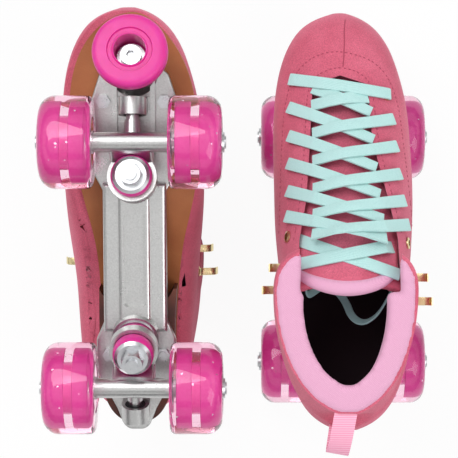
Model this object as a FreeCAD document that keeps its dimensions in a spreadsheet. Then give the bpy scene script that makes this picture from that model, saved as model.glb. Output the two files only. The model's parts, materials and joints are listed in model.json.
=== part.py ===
import FreeCAD, Part
import Sketcher
import math
import os
import re

# A pair of quad roller skates. Each skate is drawn upright in its own frame: x is
# across the foot (lateral side at +x for the right foot), y points to the toe, z is
# up, with the origin on the ground under the middle of the wheelbase. The right
# skate stands on its wheels. The left one is its mirror image, turned over and
# standing on the rim of its cuff.

Vector = FreeCAD.Vector
Rotation = FreeCAD.Rotation
Placement = FreeCAD.Placement

doc = FreeCAD.newDocument("quad_skates")
sheet = doc.addObject("Spreadsheet::Sheet", "Sizes")

SIZES = [
    # wheels and bearings
    ("wheel_dia", 58), ("wheel_width", 33), ("tread_round_out", 10), ("tread_round_in", 3.5),
    ("core_dia", 34), ("core_width", 24), ("core_lip", 1), ("core_stop_dia", 19),
    ("bearing_dia", 22), ("bearing_width", 7), ("bearing_bore", 8),
    ("race_out_wall", 1.7), ("race_in_wall", 2.5), ("shield_thick", 0.8), ("shield_gap", 0.05),
    # axle line
    ("wheelbase", 156), ("track_half", 40), ("axle_height", 29), ("washer_thick", 0.9),
    ("washer_dia", 12), ("axle_nut_flats", 12.7), ("axle_nut_height", 5), ("axle_stub", 1),
    # truck: yoke ring, cushions, kingpin, pivot
    ("ring_inboard", 23), ("ring_height", 38), ("truck_lean", 13.7), ("pivot_reach", 46),
    ("ring_dia", 31), ("ring_thick", 7), ("cup_dia", 26), ("cup_depth", 2), ("ring_hole_dia", 13),
    ("tube_dia", 12.6), ("collar_dia", 14.5), ("collar_width", 4), ("web_width", 27),
    ("cushion_dia", 24.8), ("cushion_height", 10.7), ("cushion_gap", 0.3),
    ("kingpin_dia", 8), ("kingpin_stub", 2), ("retainer_dia", 26), ("retainer_thick", 1.5),
    ("washer_dome_dia", 23.5), ("king_nut_flats", 13), ("king_nut_height", 8),
    ("pivot_pin_dia", 8), ("pivot_gap", 0.08), ("pivot_cup_dia", 12), ("pivot_cup_length", 9),
    # plate
    ("plate_top", 69), ("plate_thick", 5), ("plate_flange", 55), ("plate_waist", 40.5),
    ("plate_front", 126), ("plate_back", 100), ("tab_width", 17), ("tab_length", 14),
    ("beam_depth", 7), ("rib_width", 20), ("rib_depth", 11), ("pocket_width", 14),
    ("pocket_length", 62), ("pocket_depth", 4), ("boss_dia", 30), ("rib_wall", 3),
    ("rib_spread", 12),
    # mounting bolts
    ("bolt_dia", 5), ("bolt_head_dia", 9.5), ("bolt_head_thick", 2), ("bolt_nut_flats", 8),
    ("bolt_nut_height", 4), ("bolt_stub", 1.5), ("bolt_sink", 0.6), ("bolt_front_x", 19.4),
    ("bolt_front_y", 100), ("bolt_rear_x", 17.2), ("bolt_rear_y", 64),
    # toe stop
    ("stop_tilt", 21), ("stop_root_y", 121), ("stop_dia", 47), ("stop_neck_dia", 27),
    ("stop_base_dia", 31), ("stop_length", 31), ("stop_hole_dia", 20), ("stop_hole_depth", 20),
    ("stop_boss_length", 11), ("stop_bolt_dia", 8), ("stop_head_dia", 13), ("stop_head_height", 7),
    # boot
    ("sole_thick", 5), ("heel_rise", 21), ("breast_radius", 26), ("breast_y", 12),
    ("toe_y", 158), ("heel_y", 114), ("foot_half_width", 45.5),
    ("toe_box_top", 120), ("cuff_front_y", 4), ("cuff_front_top", 209), ("cuff_back_y", 100),
    ("cuff_back_top", 192), ("upper_wall", 2), ("lining_wall", 2.5), ("collar_pad", 12),
    ("footbed_thick", 4), ("tongue_thick", 6), ("tongue_gap", 0.4),
    ("lace_width", 8), ("lace_thick", 1.3), ("eyelet_dia", 7.4), ("eyelet_hole_dia", 4.2),
    ("eyelet_lip", 0.8), ("eyelet_wall", 0.5), ("eyelet_dome", 0.4), ("eyelet_seat_gap", 0.2),
    ("lace_clear", 0.9), ("loop_width", 14), ("loop_thick", 1.6), ("loop_slant", 10),
    ("loop_shift", 4), ("tail_dia", 2.4),
    # where the two skates stand
    ("right_x", 68.5), ("right_y", -14.62),
    ("left_x", -68.5), ("left_y", -28.62),
]
ALIASES = {alias for alias, value in SIZES}
for row, (alias, value) in enumerate(SIZES, start=1):
    sheet.set("A%d" % row, alias)
    sheet.set("B%d" % row, str(value))
    sheet.setAlias("B%d" % row, alias)
doc.recompute()


def size(alias):
    return float(getattr(sheet, alias))


def formula(text):
    """A size formula with each alias turned into a reference to the sheet."""
    return re.sub(r"[a-z_]+", lambda word: "Sizes." + word.group(0)
                  if word.group(0) in ALIASES else word.group(0), text)


def bind(item, **formulas):
    for prop, text in formulas.items():
        item.setExpression(prop, formula(text))
    return item


def add(kind, name, **formulas):
    return bind(doc.addObject(kind, name), **formulas)


def place(item, x=None, y=None, z=None, turn=None):
    """Put an item at sheet formulas x, y, z, turned by a fixed rotation."""
    if turn is not None:
        item.Placement = Placement(Vector(), turn)
    for axis, text in (("x", x), ("y", y), ("z", z)):
        if text is not None:
            item.setExpression("Placement.Base." + axis, formula(text))
    return item


def solid_shape(name, shape):
    item = doc.addObject("Part::Feature", name)
    item.Shape = shape
    return item


def join(name, pieces):
    item = doc.addObject("Part::MultiFuse", name)
    item.Shapes = pieces
    return item


def cut(name, base, tool):
    item = doc.addObject("Part::Cut", name)
    item.Base = base
    item.Tool = tool
    return item


def group(name, pieces):
    item = doc.addObject("Part::Compound", name)
    item.Links = pieces
    return item


def turned(name, outline, rounds=()):
    """A body spun about its own x axis from (along, radius) corner formulas."""
    body = doc.addObject("PartDesign::Body", name)
    sketch = body.newObject("Sketcher::SketchObject", name + "_outline")
    plane = [item for item in body.Origin.OriginFeatures if item.Role == "XY_Plane"][0]
    sketch.AttachmentSupport = [(plane, "")]
    sketch.MapMode = "FlatFace"
    corners = []
    for along, radius in outline:
        values = []
        for text in (along, radius):
            values.append(value_of(text))
        corners.append(values)
    count = len(corners)
    for index in range(count):
        start = Vector(*corners[index], 0)
        end = Vector(*corners[(index + 1) % count], 0)
        sketch.addGeometry(Part.LineSegment(start, end))
    for index in range(count):
        sketch.addConstraint(Sketcher.Constraint("Coincident", index, 2, (index + 1) % count, 1))
    for index, (along, radius) in enumerate(outline):
        for kind, text, value, axis in (("DistanceX", along, corners[index][0], -2),
                                        ("DistanceY", radius, corners[index][1], -1)):
            if text == "0":
                sketch.addConstraint(Sketcher.Constraint("PointOnObject", index, 1, axis))
                continue
            number = sketch.addConstraint(Sketcher.Constraint(kind, -1, 1, index, 1, value))
            sketch.setExpression("Constraints[%d]" % number, formula(text))
    spin = body.newObject("PartDesign::Revolution", name + "_spin")
    spin.Profile = sketch
    spin.ReferenceAxis = (sketch, ["H_Axis"])
    spin.Angle = 360
    doc.recompute()
    for along, radius, round_text in rounds:
        spot = Vector(value_of(along), value_of(radius), 0)
        edges = []
        for number, edge in enumerate(body.Shape.Edges, start=1):
            if not isinstance(edge.Curve, Part.Circle):
                continue
            centre = edge.Curve.Center
            if abs(centre.x - spot.x) < 0.01 and abs(edge.Curve.Radius - spot.y) < 0.01:
                edges.append("Edge%d" % number)
        base = body.Tip
        fillet = body.newObject("PartDesign::Fillet", name + "_round")
        fillet.Base = (base, edges)
        bind(fillet, Radius=round_text)
        body.Tip = fillet
        doc.recompute()
    return body


def value_of(text):
    """The number that a size formula gives now."""
    return float(sheet.evalExpression(formula(text)))


parts = {}


# ---------------------------------------------------------------- wheels
# Cast urethane tyre around a nylon core, with two sealed bearings in the core.
CORE_START = "(wheel_width - core_width) / 2"
CORE_END = "(wheel_width + core_width) / 2"
tyre = turned("tyre_shape", [
    ("0", "core_dia / 2 - core_lip"), ("0", "wheel_dia / 2"),
    ("wheel_width", "wheel_dia / 2"), ("wheel_width", "core_dia / 2 - core_lip"),
    (CORE_END, "core_dia / 2 - core_lip"), (CORE_END, "core_dia / 2"),
    (CORE_START, "core_dia / 2"), (CORE_START, "core_dia / 2 - core_lip")],
    rounds=[("wheel_width", "wheel_dia / 2", "tread_round_out"),
            ("0", "wheel_dia / 2", "tread_round_in")])
SEAT_END = CORE_START + " + bearing_width"
SEAT_START = CORE_END + " - bearing_width"
core = turned("core_shape", [
    (CORE_START, "bearing_dia / 2"), (CORE_START, "core_dia / 2"),
    (CORE_END, "core_dia / 2"), (CORE_END, "bearing_dia / 2"),
    (SEAT_START, "bearing_dia / 2"), (SEAT_START, "core_stop_dia / 2"),
    (SEAT_END, "core_stop_dia / 2"), (SEAT_END, "bearing_dia / 2")])
RACE_OUT = "bearing_dia / 2 - race_out_wall"
RACE_IN = "bearing_bore / 2 + race_in_wall"
outer_races = []
for label, start in (("inboard", CORE_START), ("outboard", SEAT_START)):
    race = turned("outer_race_" + label, [
        ("0", RACE_IN + " + shield_gap"), ("0", "bearing_dia / 2"),
        ("bearing_width", "bearing_dia / 2"), ("bearing_width", RACE_IN + " + shield_gap"),
        ("bearing_width - shield_thick", RACE_IN + " + shield_gap"),
        ("bearing_width - shield_thick", RACE_OUT), ("shield_thick", RACE_OUT),
        ("shield_thick", RACE_IN + " + shield_gap")])
    outer_races.append(place(race, x=start))
hub = group("hub_shape", [core] + outer_races)

ENDS = {"front": 1, "rear": -1}
SIDES = {"inner": -1, "outer": 1}
for end, way in ENDS.items():
    for side, sign in SIDES.items():
        for name, shape in (("tyre", tyre), ("hub", hub)):
            node = "%s_%s_%s" % (end, side, name)
            turn = Rotation(Vector(0, 0, 1), 0 if sign > 0 else 180)
            parts[node] = place(group(node + "_set", [shape]),
                                x="%d * (track_half - wheel_width / 2)" % sign,
                                y="%d * wheelbase / 2" % way, z="axle_height", turn=turn)

# ---------------------------------------------------------------- axles
# A pressed-in rod, and on each half two inner races, two washers and a lock nut.
BEARING_OUT = "track_half + core_width / 2"
BEARING_IN = "track_half - core_width / 2"
ROD_END = BEARING_OUT + " + washer_thick + axle_nut_height + axle_stub"
rod = add("Part::Cylinder", "axle_rod", Radius="bearing_bore / 2", Height="2 * (%s)" % ROD_END)
place(rod, x="-(%s)" % ROD_END, turn=Rotation(Vector(0, 1, 0), 90))


def sleeve(name, start, length, outer, inner):
    """A plain ring on the axle line, from start along +x."""
    ring = turned(name, [("0", inner), ("0", outer), (length, outer), (length, inner)])
    return place(ring, x=start)


def lock_nut(name, flats, height, bore):
    """A hexagon nut along +z with its bore, corners turned off round."""
    prism = add("Part::Prism", name + "_hex", Circumradius="%s / 2 / cos(30)" % flats,
                Height=height)
    turned_off = add("Part::Cone", name + "_bevel", Radius1="%s / 2 * 1.16" % flats,
                     Radius2="%s / 2 * 0.98" % flats, Height=height)
    both = doc.addObject("Part::Common", name + "_body")
    both.Base = prism
    both.Tool = turned_off
    hole = add("Part::Cylinder", name + "_bore", Radius=bore, Height=height)
    return cut(name, both, hole)


half = []
for label, start in (("in", BEARING_IN), ("out", BEARING_OUT + " - bearing_width")):
    half.append(sleeve("inner_race_" + label, start, "bearing_width", RACE_IN, "bearing_bore / 2"))
for label, start in (("in", BEARING_IN + " - washer_thick"), ("out", BEARING_OUT)):
    half.append(sleeve("axle_washer_" + label, start, "washer_thick", "washer_dia / 2",
                       "bearing_bore / 2"))
axle_nut = lock_nut("axle_nut", "axle_nut_flats", "axle_nut_height", "bearing_bore / 2")
half.append(place(axle_nut, x=BEARING_OUT + " + washer_thick",
                  turn=Rotation(Vector(0, 1, 0), 90)))
half_set = group("axle_half", half)
other_half = doc.addObject("Part::Mirroring", "axle_other_half")
other_half.Source = half_set
other_half.Normal = (1, 0, 0)
axle = group("axle_shape", [rod, half_set, other_half])
for end, way in ENDS.items():
    parts[end + "_axle"] = place(group(end + "_axle_set", [axle]),
                                 y="%d * wheelbase / 2" % way, z="axle_height")

# ---------------------------------------------------------------- trucks
# Drawn in the truck's own frame: origin at the ring's centre, z up the kingpin,
# y along the steering axis towards the pivot.
AXLE_Y = "(ring_inboard * cos(truck_lean) + (axle_height - ring_height) * sin(truck_lean))"
AXLE_Z = "(-ring_inboard * sin(truck_lean) + (axle_height - ring_height) * cos(truck_lean))"
axle_at_y = value_of(AXLE_Y)
axle_at_z = value_of(AXLE_Z)
TUBE_HALF = "(%s - washer_thick)" % BEARING_IN
ALONG_X = Rotation(Vector(0, 1, 0), 90)
ALONG_Y = Rotation(Vector(1, 0, 0), -90)


def cylinder(name, radius, length, x="0", y="0", z="0", turn=None):
    return place(add("Part::Cylinder", name, Radius=radius, Height=length), x, y, z, turn)


def flat_outline(points):
    return Part.Face(Part.makePolygon([Vector(*point) for point in points + points[:1]]))


ring = cylinder("yoke_ring", "ring_dia / 2", "ring_thick", z="-ring_thick / 2")
tube = cylinder("axle_tube", "tube_dia / 2", "2 * " + TUBE_HALF, x="-" + TUBE_HALF,
                y=AXLE_Y, z=AXLE_Z, turn=ALONG_X)
collars = []
for label, start in (("left", "-" + TUBE_HALF), ("right", TUBE_HALF + " - collar_width")):
    collars.append(cylinder("tube_collar_" + label, "collar_dia / 2", "collar_width", x=start,
                            y=AXLE_Y, z=AXLE_Z, turn=ALONG_X))
ring_r = size("ring_dia") / 2
ring_half = size("ring_thick") / 2
tube_r = size("tube_dia") / 2
web_half = size("web_width") / 2
web_side = [(-web_half, ring_r * 0.55, ring_half - 0.5), (-web_half, axle_at_y + 1, ring_half - 0.5),
            (-web_half, axle_at_y + tube_r * 0.95, axle_at_z + 2),
            (-web_half, axle_at_y + 2, axle_at_z - tube_r * 0.9),
            (-web_half, axle_at_y - tube_r * 0.9, axle_at_z - 2), (-web_half, ring_r * 0.55, 0.5 - ring_half)]
web_block = flat_outline(web_side).extrude(Vector(2 * web_half, 0, 0))
web_edges = [edge for edge in web_block.Edges if abs(abs(edge.CenterOfMass.x) - web_half) < 0.01]
web = solid_shape("yoke_web", web_block.makeFillet(1.8, web_edges))
arm = add("Part::Cone", "pivot_arm", Radius1="tube_dia / 2", Radius2="pivot_pin_dia / 2 + 0.8",
          Height="pivot_reach - pivot_cup_length - ring_dia / 2")
place(arm, y="ring_dia / 2 - 1", turn=ALONG_Y)
pin = cylinder("pivot_pin", "pivot_pin_dia / 2", "pivot_reach - ring_dia / 2", y="ring_dia / 2",
               turn=ALONG_Y)
yoke = join("yoke", [ring, tube, web, arm, pin] + collars)
# the lower cup is only as deep as the cushion, so that it misses the axle tube
hollows = [cylinder("ring_hole", "ring_hole_dia / 2", "2 * ring_thick", z="-ring_thick"),
           cylinder("cup_over", "cup_dia / 2", "ring_dia", z="ring_thick / 2 - cup_depth"),
           cylinder("cup_under", "cup_dia / 2", "cushion_height + cup_depth",
                    z="-ring_thick / 2 - cushion_height"),
           cylinder("axle_bore", "bearing_bore / 2", "4 * " + TUBE_HALF, x="-2 * " + TUBE_HALF,
                    y=AXLE_Y, z=AXLE_Z, turn=ALONG_X)]
hanger = cut("hanger_shape", yoke, join("hanger_hollows", hollows))

FACE = "(ring_thick / 2 - cup_depth + cushion_gap)"
cushions = []
for label, start in (("upper", FACE), ("lower", "-%s - cushion_height" % FACE)):
    block = cylinder(label + "_cushion_block", "cushion_dia / 2", "cushion_height", z=start)
    hole = cylinder(label + "_cushion_hole", "kingpin_dia / 2 + cushion_gap", "cushion_height",
                    z=start)
    cushions.append(cut(label + "_cushion", block, hole))
cup_tube = cylinder("pivot_cup_tube", "pivot_cup_dia / 2", "pivot_cup_length",
                    y="pivot_reach - pivot_cup_length + 2", turn=ALONG_Y)
cup_hole = cylinder("pivot_cup_hole", "pivot_pin_dia / 2 + pivot_gap",
                    "pivot_cup_length - 2 + cushion_gap",
                    y="pivot_reach - pivot_cup_length + 2", turn=ALONG_Y)
pivot_cup = cut("pivot_cup", cup_tube, cup_hole)
cushion_set = group("cushion_shape", cushions + [pivot_cup])

STACK = "(%s + cushion_height)" % FACE
pin_rod = cylinder("kingpin_rod", "kingpin_dia / 2",
                   "2 * (%s) + 2 * retainer_thick + king_nut_height + kingpin_stub + 9" % STACK,
                   z="-%s - retainer_thick - king_nut_height - kingpin_stub" % STACK)
upper_retainer = cylinder("upper_retainer_disc", "retainer_dia / 2", "retainer_thick", z=STACK)
lower_retainer = add("Part::Cone", "lower_retainer_disc", Radius1="washer_dome_dia / 2 - 2",
                     Radius2="washer_dome_dia / 2", Height="retainer_thick")
place(lower_retainer, z="-%s - retainer_thick" % STACK)
king_nut = lock_nut("king_nut", "king_nut_flats", "king_nut_height", "kingpin_dia / 2")
king_nut.Placement = Placement(Vector(), Rotation(Vector(1, 0, 0), 180))
place(king_nut, z="-%s - retainer_thick" % STACK)
pin_hole = cylinder("retainer_hole", "kingpin_dia / 2", "4 * (%s)" % STACK, z="-2 * (%s)" % STACK)
kingpin_set = group("kingpin_shape", [pin_rod, cut("upper_retainer", upper_retainer, pin_hole),
                                      cut("lower_retainer", lower_retainer, pin_hole), king_nut])


def seat_truck(name, shape, way):
    """Stand a truck piece on the skate: way is 1 for the front, -1 for the rear."""
    item = group(name, [shape])
    lean = Rotation(Vector(1, 0, 0), size("truck_lean"))
    turn = lean if way > 0 else Rotation(Vector(0, 0, 1), 180) * lean
    return place(item, y="%d * (wheelbase / 2 - ring_inboard)" % way, z="ring_height", turn=turn)


for end, way in ENDS.items():
    parts[end + "_hanger"] = seat_truck(end + "_hanger_set", hanger, way)
    parts[end + "_cushions"] = seat_truck(end + "_cushion_set", cushion_set, way)
kingpins = [seat_truck(end + "_kingpin_set", kingpin_set, way) for end, way in ENDS.items()]
parts["kingpins"] = group("kingpins_set", kingpins)
doc.recompute()

# ---------------------------------------------------------------- plate
# One aluminium casting: flanges over the trucks, a waisted beam with a pocketed
# rib, two truck bosses, two pivot housings and the toe stop boss.
top = size("plate_top")
under = top - size("plate_thick")
flange = size("plate_flange") / 2
waist = size("plate_waist") / 2
front = size("plate_front")
back = size("plate_back")
base = size("wheelbase") / 2
tab = size("tab_width") / 2


def plan_face(right_side, height):
    """A face symmetric about x = 0, from the corners of its right side, front to back."""
    right = [Vector(x, y, height) for x, y in right_side]
    left = [Vector(-corner.x, corner.y, height) for corner in reversed(right)]
    return Part.Face(Part.makePolygon(right + left + right[:1]))


def rounded(shape, radius, pick):
    """Fillet the edges that pick accepts."""
    edges = [edge for edge in shape.Edges if pick(edge)]
    return shape.makeFillet(radius, edges)


def is_upright(edge):
    low, high = edge.Vertexes[0].Z, edge.Vertexes[-1].Z
    return abs(low - high) > 0.9 * edge.Length


plan = [(tab * 1.4, front), (flange * 0.8, front - 9), (flange, front - 26), (flange, base - 22),
        (waist, base - 36), (waist, 36 - base), (flange * 0.93, 24 - base),
        (flange * 0.93, -base + 2), (tab * 1.5, -back), (tab, -back - size("tab_length") + 3),
        (tab * 0.6, -back - size("tab_length"))]
deck = rounded(plan_face(plan, under).extrude(Vector(0, 0, top - under)), 6.0, is_upright)
deck = rounded(deck, 1.2, lambda edge: abs(edge.CenterOfMass.z - under) < 0.01)
beam = Part.makeBox(2 * waist, 2 * base - 60, size("beam_depth") + 1,
                    Vector(-waist, 30 - base, under - size("beam_depth")))
beam = rounded(beam, 2.5, lambda edge: abs(edge.CenterOfMass.z - under + size("beam_depth")) < 0.01)
rib_half = size("rib_width") / 2
rib = Part.makeBox(2 * rib_half, 2 * base - 66, size("rib_depth") + 1,
                   Vector(-rib_half, 33 - base, under - size("rib_depth")))
rib = rounded(rib, 2.0, lambda edge: abs(edge.CenterOfMass.z - under + size("rib_depth")) < 0.01)
plate = deck.fuse([beam, rib])

lean = math.radians(size("truck_lean"))
stack = value_of(STACK)
boss_start = stack + size("retainer_thick")
for way in ENDS.values():
    centre = Vector(0, way * (base - size("ring_inboard")), size("ring_height"))
    up = Vector(0, -way * math.sin(lean), math.cos(lean))
    along = Vector(0, way * math.cos(lean), math.sin(lean))
    king_boss = Part.makeCylinder(size("boss_dia") / 2, 26, centre + up * boss_start, up)
    pivot = centre + along * (size("pivot_reach") - size("pivot_cup_length") + 2)
    housing_r = size("pivot_cup_dia") / 2 + 2.8
    housing = Part.makeCylinder(housing_r, size("pivot_cup_length") + 2, pivot, along)
    block = Part.makeBox(2 * housing_r, size("pivot_cup_length") + 1, under - pivot.z + 1,
                         Vector(-housing_r, pivot.y if way > 0 else
                                pivot.y - size("pivot_cup_length") - 1, pivot.z))
    plate = plate.fuse([king_boss, housing, block])
# two ribs run forward to the toe stop, and three shallow steps cross the front flange
for across in (-1, 1):
    web_rib = Part.makeBox(size("rib_wall"), front - base - 4, 4.5,
                           Vector(across * size("rib_spread") - size("rib_wall") / 2, base, under - 4))
    plate = plate.fuse(web_rib)
for step in range(3):
    cross_step = Part.makeBox(2 * size("rib_spread"), size("rib_wall"), 2.5,
                              Vector(-size("rib_spread"), base + 6 + 8 * step, under - 2))
    plate = plate.fuse(cross_step)
tilt = math.radians(size("stop_tilt"))
stop_down = Vector(0, math.sin(tilt), -math.cos(tilt))
stop_root = Vector(0, size("stop_root_y"), under)
stop_boss = Part.makeCone(size("boss_dia") / 2 + 2, size("stop_base_dia") / 2 - 1.5,
                          size("stop_boss_length") + 6, stop_root - stop_down * 6, stop_down)
plate = plate.fuse(stop_boss)
sky = Part.makeBox(400, 400, 60, Vector(-200, -200, top))
plate = plate.cut(sky)
pocket = Part.makeBox(size("pocket_width"), size("pocket_length"), size("pocket_depth") + 1,
                      Vector(-size("pocket_width") / 2, -size("pocket_length") / 2,
                             under - size("rib_depth") - 1))
pocket = rounded(pocket, 3.0, is_upright)
holes = [pocket]
for way in ENDS.values():
    centre = Vector(0, way * (base - size("ring_inboard")), size("ring_height"))
    up = Vector(0, -way * math.sin(lean), math.cos(lean))
    along = Vector(0, way * math.cos(lean), math.sin(lean))
    pin_top = stack + size("retainer_thick") + 9
    holes.append(Part.makeCylinder(size("kingpin_dia") / 2, pin_top, centre, up))
    start = size("pivot_reach") - size("pivot_cup_length") + 2
    holes.append(Part.makeCylinder(size("pivot_cup_dia") / 2, size("pivot_cup_length"),
                                   centre + along * start, along))
    holes.append(Part.makeCylinder(size("pivot_cup_dia") / 2 + 1.5, 20,
                                   centre + along * (start - 20), along))
stop_bolt_r = size("stop_bolt_dia") / 2
holes.append(Part.makeCylinder(stop_bolt_r, size("stop_boss_length") + 4,
                               stop_root - stop_down * 4, stop_down))
bolt_spots = [Vector(x * size("bolt_front_x"), size("bolt_front_y"), 0) for x in (-1, 1)]
bolt_spots += [Vector(x * size("bolt_rear_x"), -size("bolt_rear_y"), 0) for x in (-1, 1)]
for spot in bolt_spots:
    holes.append(Part.makeCylinder(size("bolt_dia") / 2, 200, spot))
plate = plate.cut(holes).removeSplitter()
parts["plate"] = solid_shape("plate_shape", plate)

# ---------------------------------------------------------------- toe stop
stop_face = stop_root + stop_down * (size("stop_boss_length") + size("stop_length"))
full = size("stop_length")
outline = [(size("stop_hole_dia") / 2, 0), (size("stop_base_dia") / 2, 0),
           (size("stop_neck_dia") / 2, full * 0.28), (size("stop_neck_dia") / 2 + 1, full * 0.42),
           (size("stop_dia") / 2 - 2, full * 0.62), (size("stop_dia") / 2, full * 0.74),
           (size("stop_dia") / 2, full * 0.88), (size("stop_dia") / 2 - 3.5, full),
           (size("stop_hole_dia") / 2, full)]
profile = Part.makePolygon([Vector(r, 0, z) for r, z in outline + outline[:1]])
stop = Part.Face(profile).revolve(Vector(), Vector(0, 0, 1), 360)
floor_disc = Part.makeCylinder(size("stop_hole_dia") / 2, full - size("stop_hole_depth"))
stop = stop.fuse(floor_disc).removeSplitter()
stop = stop.cut(Part.makeCylinder(stop_bolt_r, full))
stop.Placement = Placement(stop_root + stop_down * size("stop_boss_length"),
                           Rotation(Vector(0, 0, 1), stop_down))
parts["toe_stop"] = solid_shape("toe_stop_shape", stop)
head_at = full - size("stop_hole_depth")
bolt = Part.makeCylinder(stop_bolt_r, head_at + size("stop_boss_length") + 3,
                         Vector(0, 0, -size("stop_boss_length") - 3))
head = Part.makeCylinder(size("stop_head_dia") / 2, size("stop_head_height"), Vector(0, 0, head_at))
washer = Part.makeCylinder(size("stop_hole_dia") / 2 - 1, 1.2, Vector(0, 0, head_at))
washer = washer.cut(Part.makeCylinder(stop_bolt_r, 2, Vector(0, 0, head_at)))
head.translate(Vector(0, 0, 1.2))
shank = Part.makeCylinder(stop_bolt_r, 1.2, Vector(0, 0, head_at))
key = Part.makePolygon([Vector(3 * math.cos(math.radians(60 * k)), 3 * math.sin(math.radians(60 * k)),
                               head_at + size("stop_head_height") - 2) for k in range(7)])
head = head.cut(Part.Face(key).extrude(Vector(0, 0, 6)))
stop_bolt = Part.makeCompound([bolt.fuse([shank, head]).removeSplitter(), washer])
stop_bolt.Placement = stop.Placement
parts["toe_stop_bolt"] = solid_shape("toe_stop_bolt_shape", stop_bolt)

# ---------------------------------------------------------------- sole and heel
toe = size("toe_y")
heel = -size("heel_y")
half_width = size("foot_half_width")
ball_z = top + size("sole_thick")
heel_z = top + size("heel_rise") + size("sole_thick")


def sole_top(y):
    """Height of the outsole's upper face: flat under the ball, ramped up to the heel."""
    share = min(max((42 - y) / 76, 0), 1)
    return ball_z + (heel_z - ball_z) * share * share * (3 - 2 * share)


SOLE_OUTLINE = [(-0.07, 0.985), (-0.48, 0.93), (-0.76, 0.82), (-0.9, 0.66), (-0.9, 0.48),
                (-0.76, 0.27), (-0.6, 0.06), (-0.54, -0.24), (-0.54, -0.56), (-0.47, -0.82),
                (-0.27, -0.95), (0, -0.985), (0.27, -0.95), (0.47, -0.82), (0.54, -0.56),
                (0.58, -0.24), (0.68, 0.06), (0.84, 0.27), (0.88, 0.48), (0.83, 0.66),
                (0.64, 0.82), (0.35, 0.93)]


def sole_plan(inset, height):
    """The outsole's outline, drawn in by inset, as a face at a height."""
    points = []
    for across, share in SOLE_OUTLINE:
        x = across * half_width
        y = share * toe if share > 0 else -share * heel
        middle = Vector(0, 20, 0)
        ray = Vector(x, y, 0) - middle
        ray.multiply((ray.Length - inset) / ray.Length)
        points.append(Vector(middle.x + ray.x, middle.y + ray.y, height))
    curve = Part.BSplineCurve()
    curve.interpolate(points, PeriodicFlag=True)
    return Part.Face(Part.Wire(curve.toShape()))


def side_band(low, high, start, end, half):
    """A block between two height curves over y from start to end, half each way in x."""
    steps = [start + (end - start) * k / 24 for k in range(25)]
    upper_edge = Part.BSplineCurve()
    upper_edge.interpolate([Vector(-half, y, high(y)) for y in steps])
    lower_edge = Part.BSplineCurve()
    lower_edge.interpolate([Vector(-half, y, low(y)) for y in steps])
    first = Part.LineSegment(upper_edge.EndPoint, lower_edge.EndPoint)
    last = Part.LineSegment(lower_edge.StartPoint, upper_edge.StartPoint)
    wire = Part.Wire([last.toShape(), upper_edge.toShape(), first.toShape(), lower_edge.toShape()])
    return Part.Face(wire).extrude(Vector(2 * half, 0, 0))


thick = size("sole_thick")
sole_column = sole_plan(0, top - 5).extrude(Vector(0, 0, 80))
sole_band = side_band(lambda y: sole_top(y) - thick, sole_top, heel - 20, toe + 20, 90)
outsole = sole_column.common(sole_band)
for spot in bolt_spots:
    level = sole_top(spot.y) - size("bolt_head_thick") - size("bolt_sink")
    shank_hole = Part.makeCylinder(size("bolt_dia") / 2, 200, spot)
    head_seat = Part.makeCylinder(size("bolt_head_dia") / 2, 30, Vector(spot.x, spot.y, level))
    outsole = outsole.cut([shank_hole, head_seat])
parts["outsole"] = solid_shape("outsole_shape", outsole)

heel_column = sole_plan(1.2, top).extrude(Vector(0, 0, size("heel_rise") + 10))
heel_room = side_band(lambda y: top, lambda y: sole_top(y) - thick, heel - 20, -22, 90)
breast = Part.makeCylinder(size("breast_radius"), 60, Vector(0, -size("breast_y"), top - 5))
heel_block = heel_column.common(heel_room).cut(breast)
for spot in bolt_spots:
    heel_block = heel_block.cut(Part.makeCylinder(size("bolt_dia") / 2, 200, spot))
heel_block = max(heel_block.Solids, key=lambda piece: piece.Volume)
parts["heel"] = solid_shape("heel_shape", heel_block)

bolts = []
for spot in bolt_spots:
    level = sole_top(spot.y) - size("bolt_head_thick") - size("bolt_sink")
    nut_z = under - size("bolt_nut_height")
    shaft = Part.makeCylinder(size("bolt_dia") / 2, level - nut_z + size("bolt_stub"),
                              Vector(spot.x, spot.y, nut_z - size("bolt_stub")))
    cap = Part.makeCylinder(size("bolt_head_dia") / 2, size("bolt_head_thick"),
                            Vector(spot.x, spot.y, level))
    bolts.append(shaft.fuse(cap).removeSplitter())
    corner = size("bolt_nut_flats") / 2 / math.cos(math.radians(30))
    ring_points = [Vector(spot.x + corner * math.cos(math.radians(60 * k)),
                          spot.y + corner * math.sin(math.radians(60 * k)),
                          nut_z) for k in range(7)]
    nut = Part.Face(Part.makePolygon(ring_points)).extrude(Vector(0, 0, size("bolt_nut_height")))
    bolts.append(nut.cut(Part.makeCylinder(size("bolt_dia") / 2, 200, Vector(spot.x, spot.y, 0))))
parts["mounting_bolts"] = solid_shape("mounting_bolts_shape", Part.makeCompound(bolts))

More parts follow.
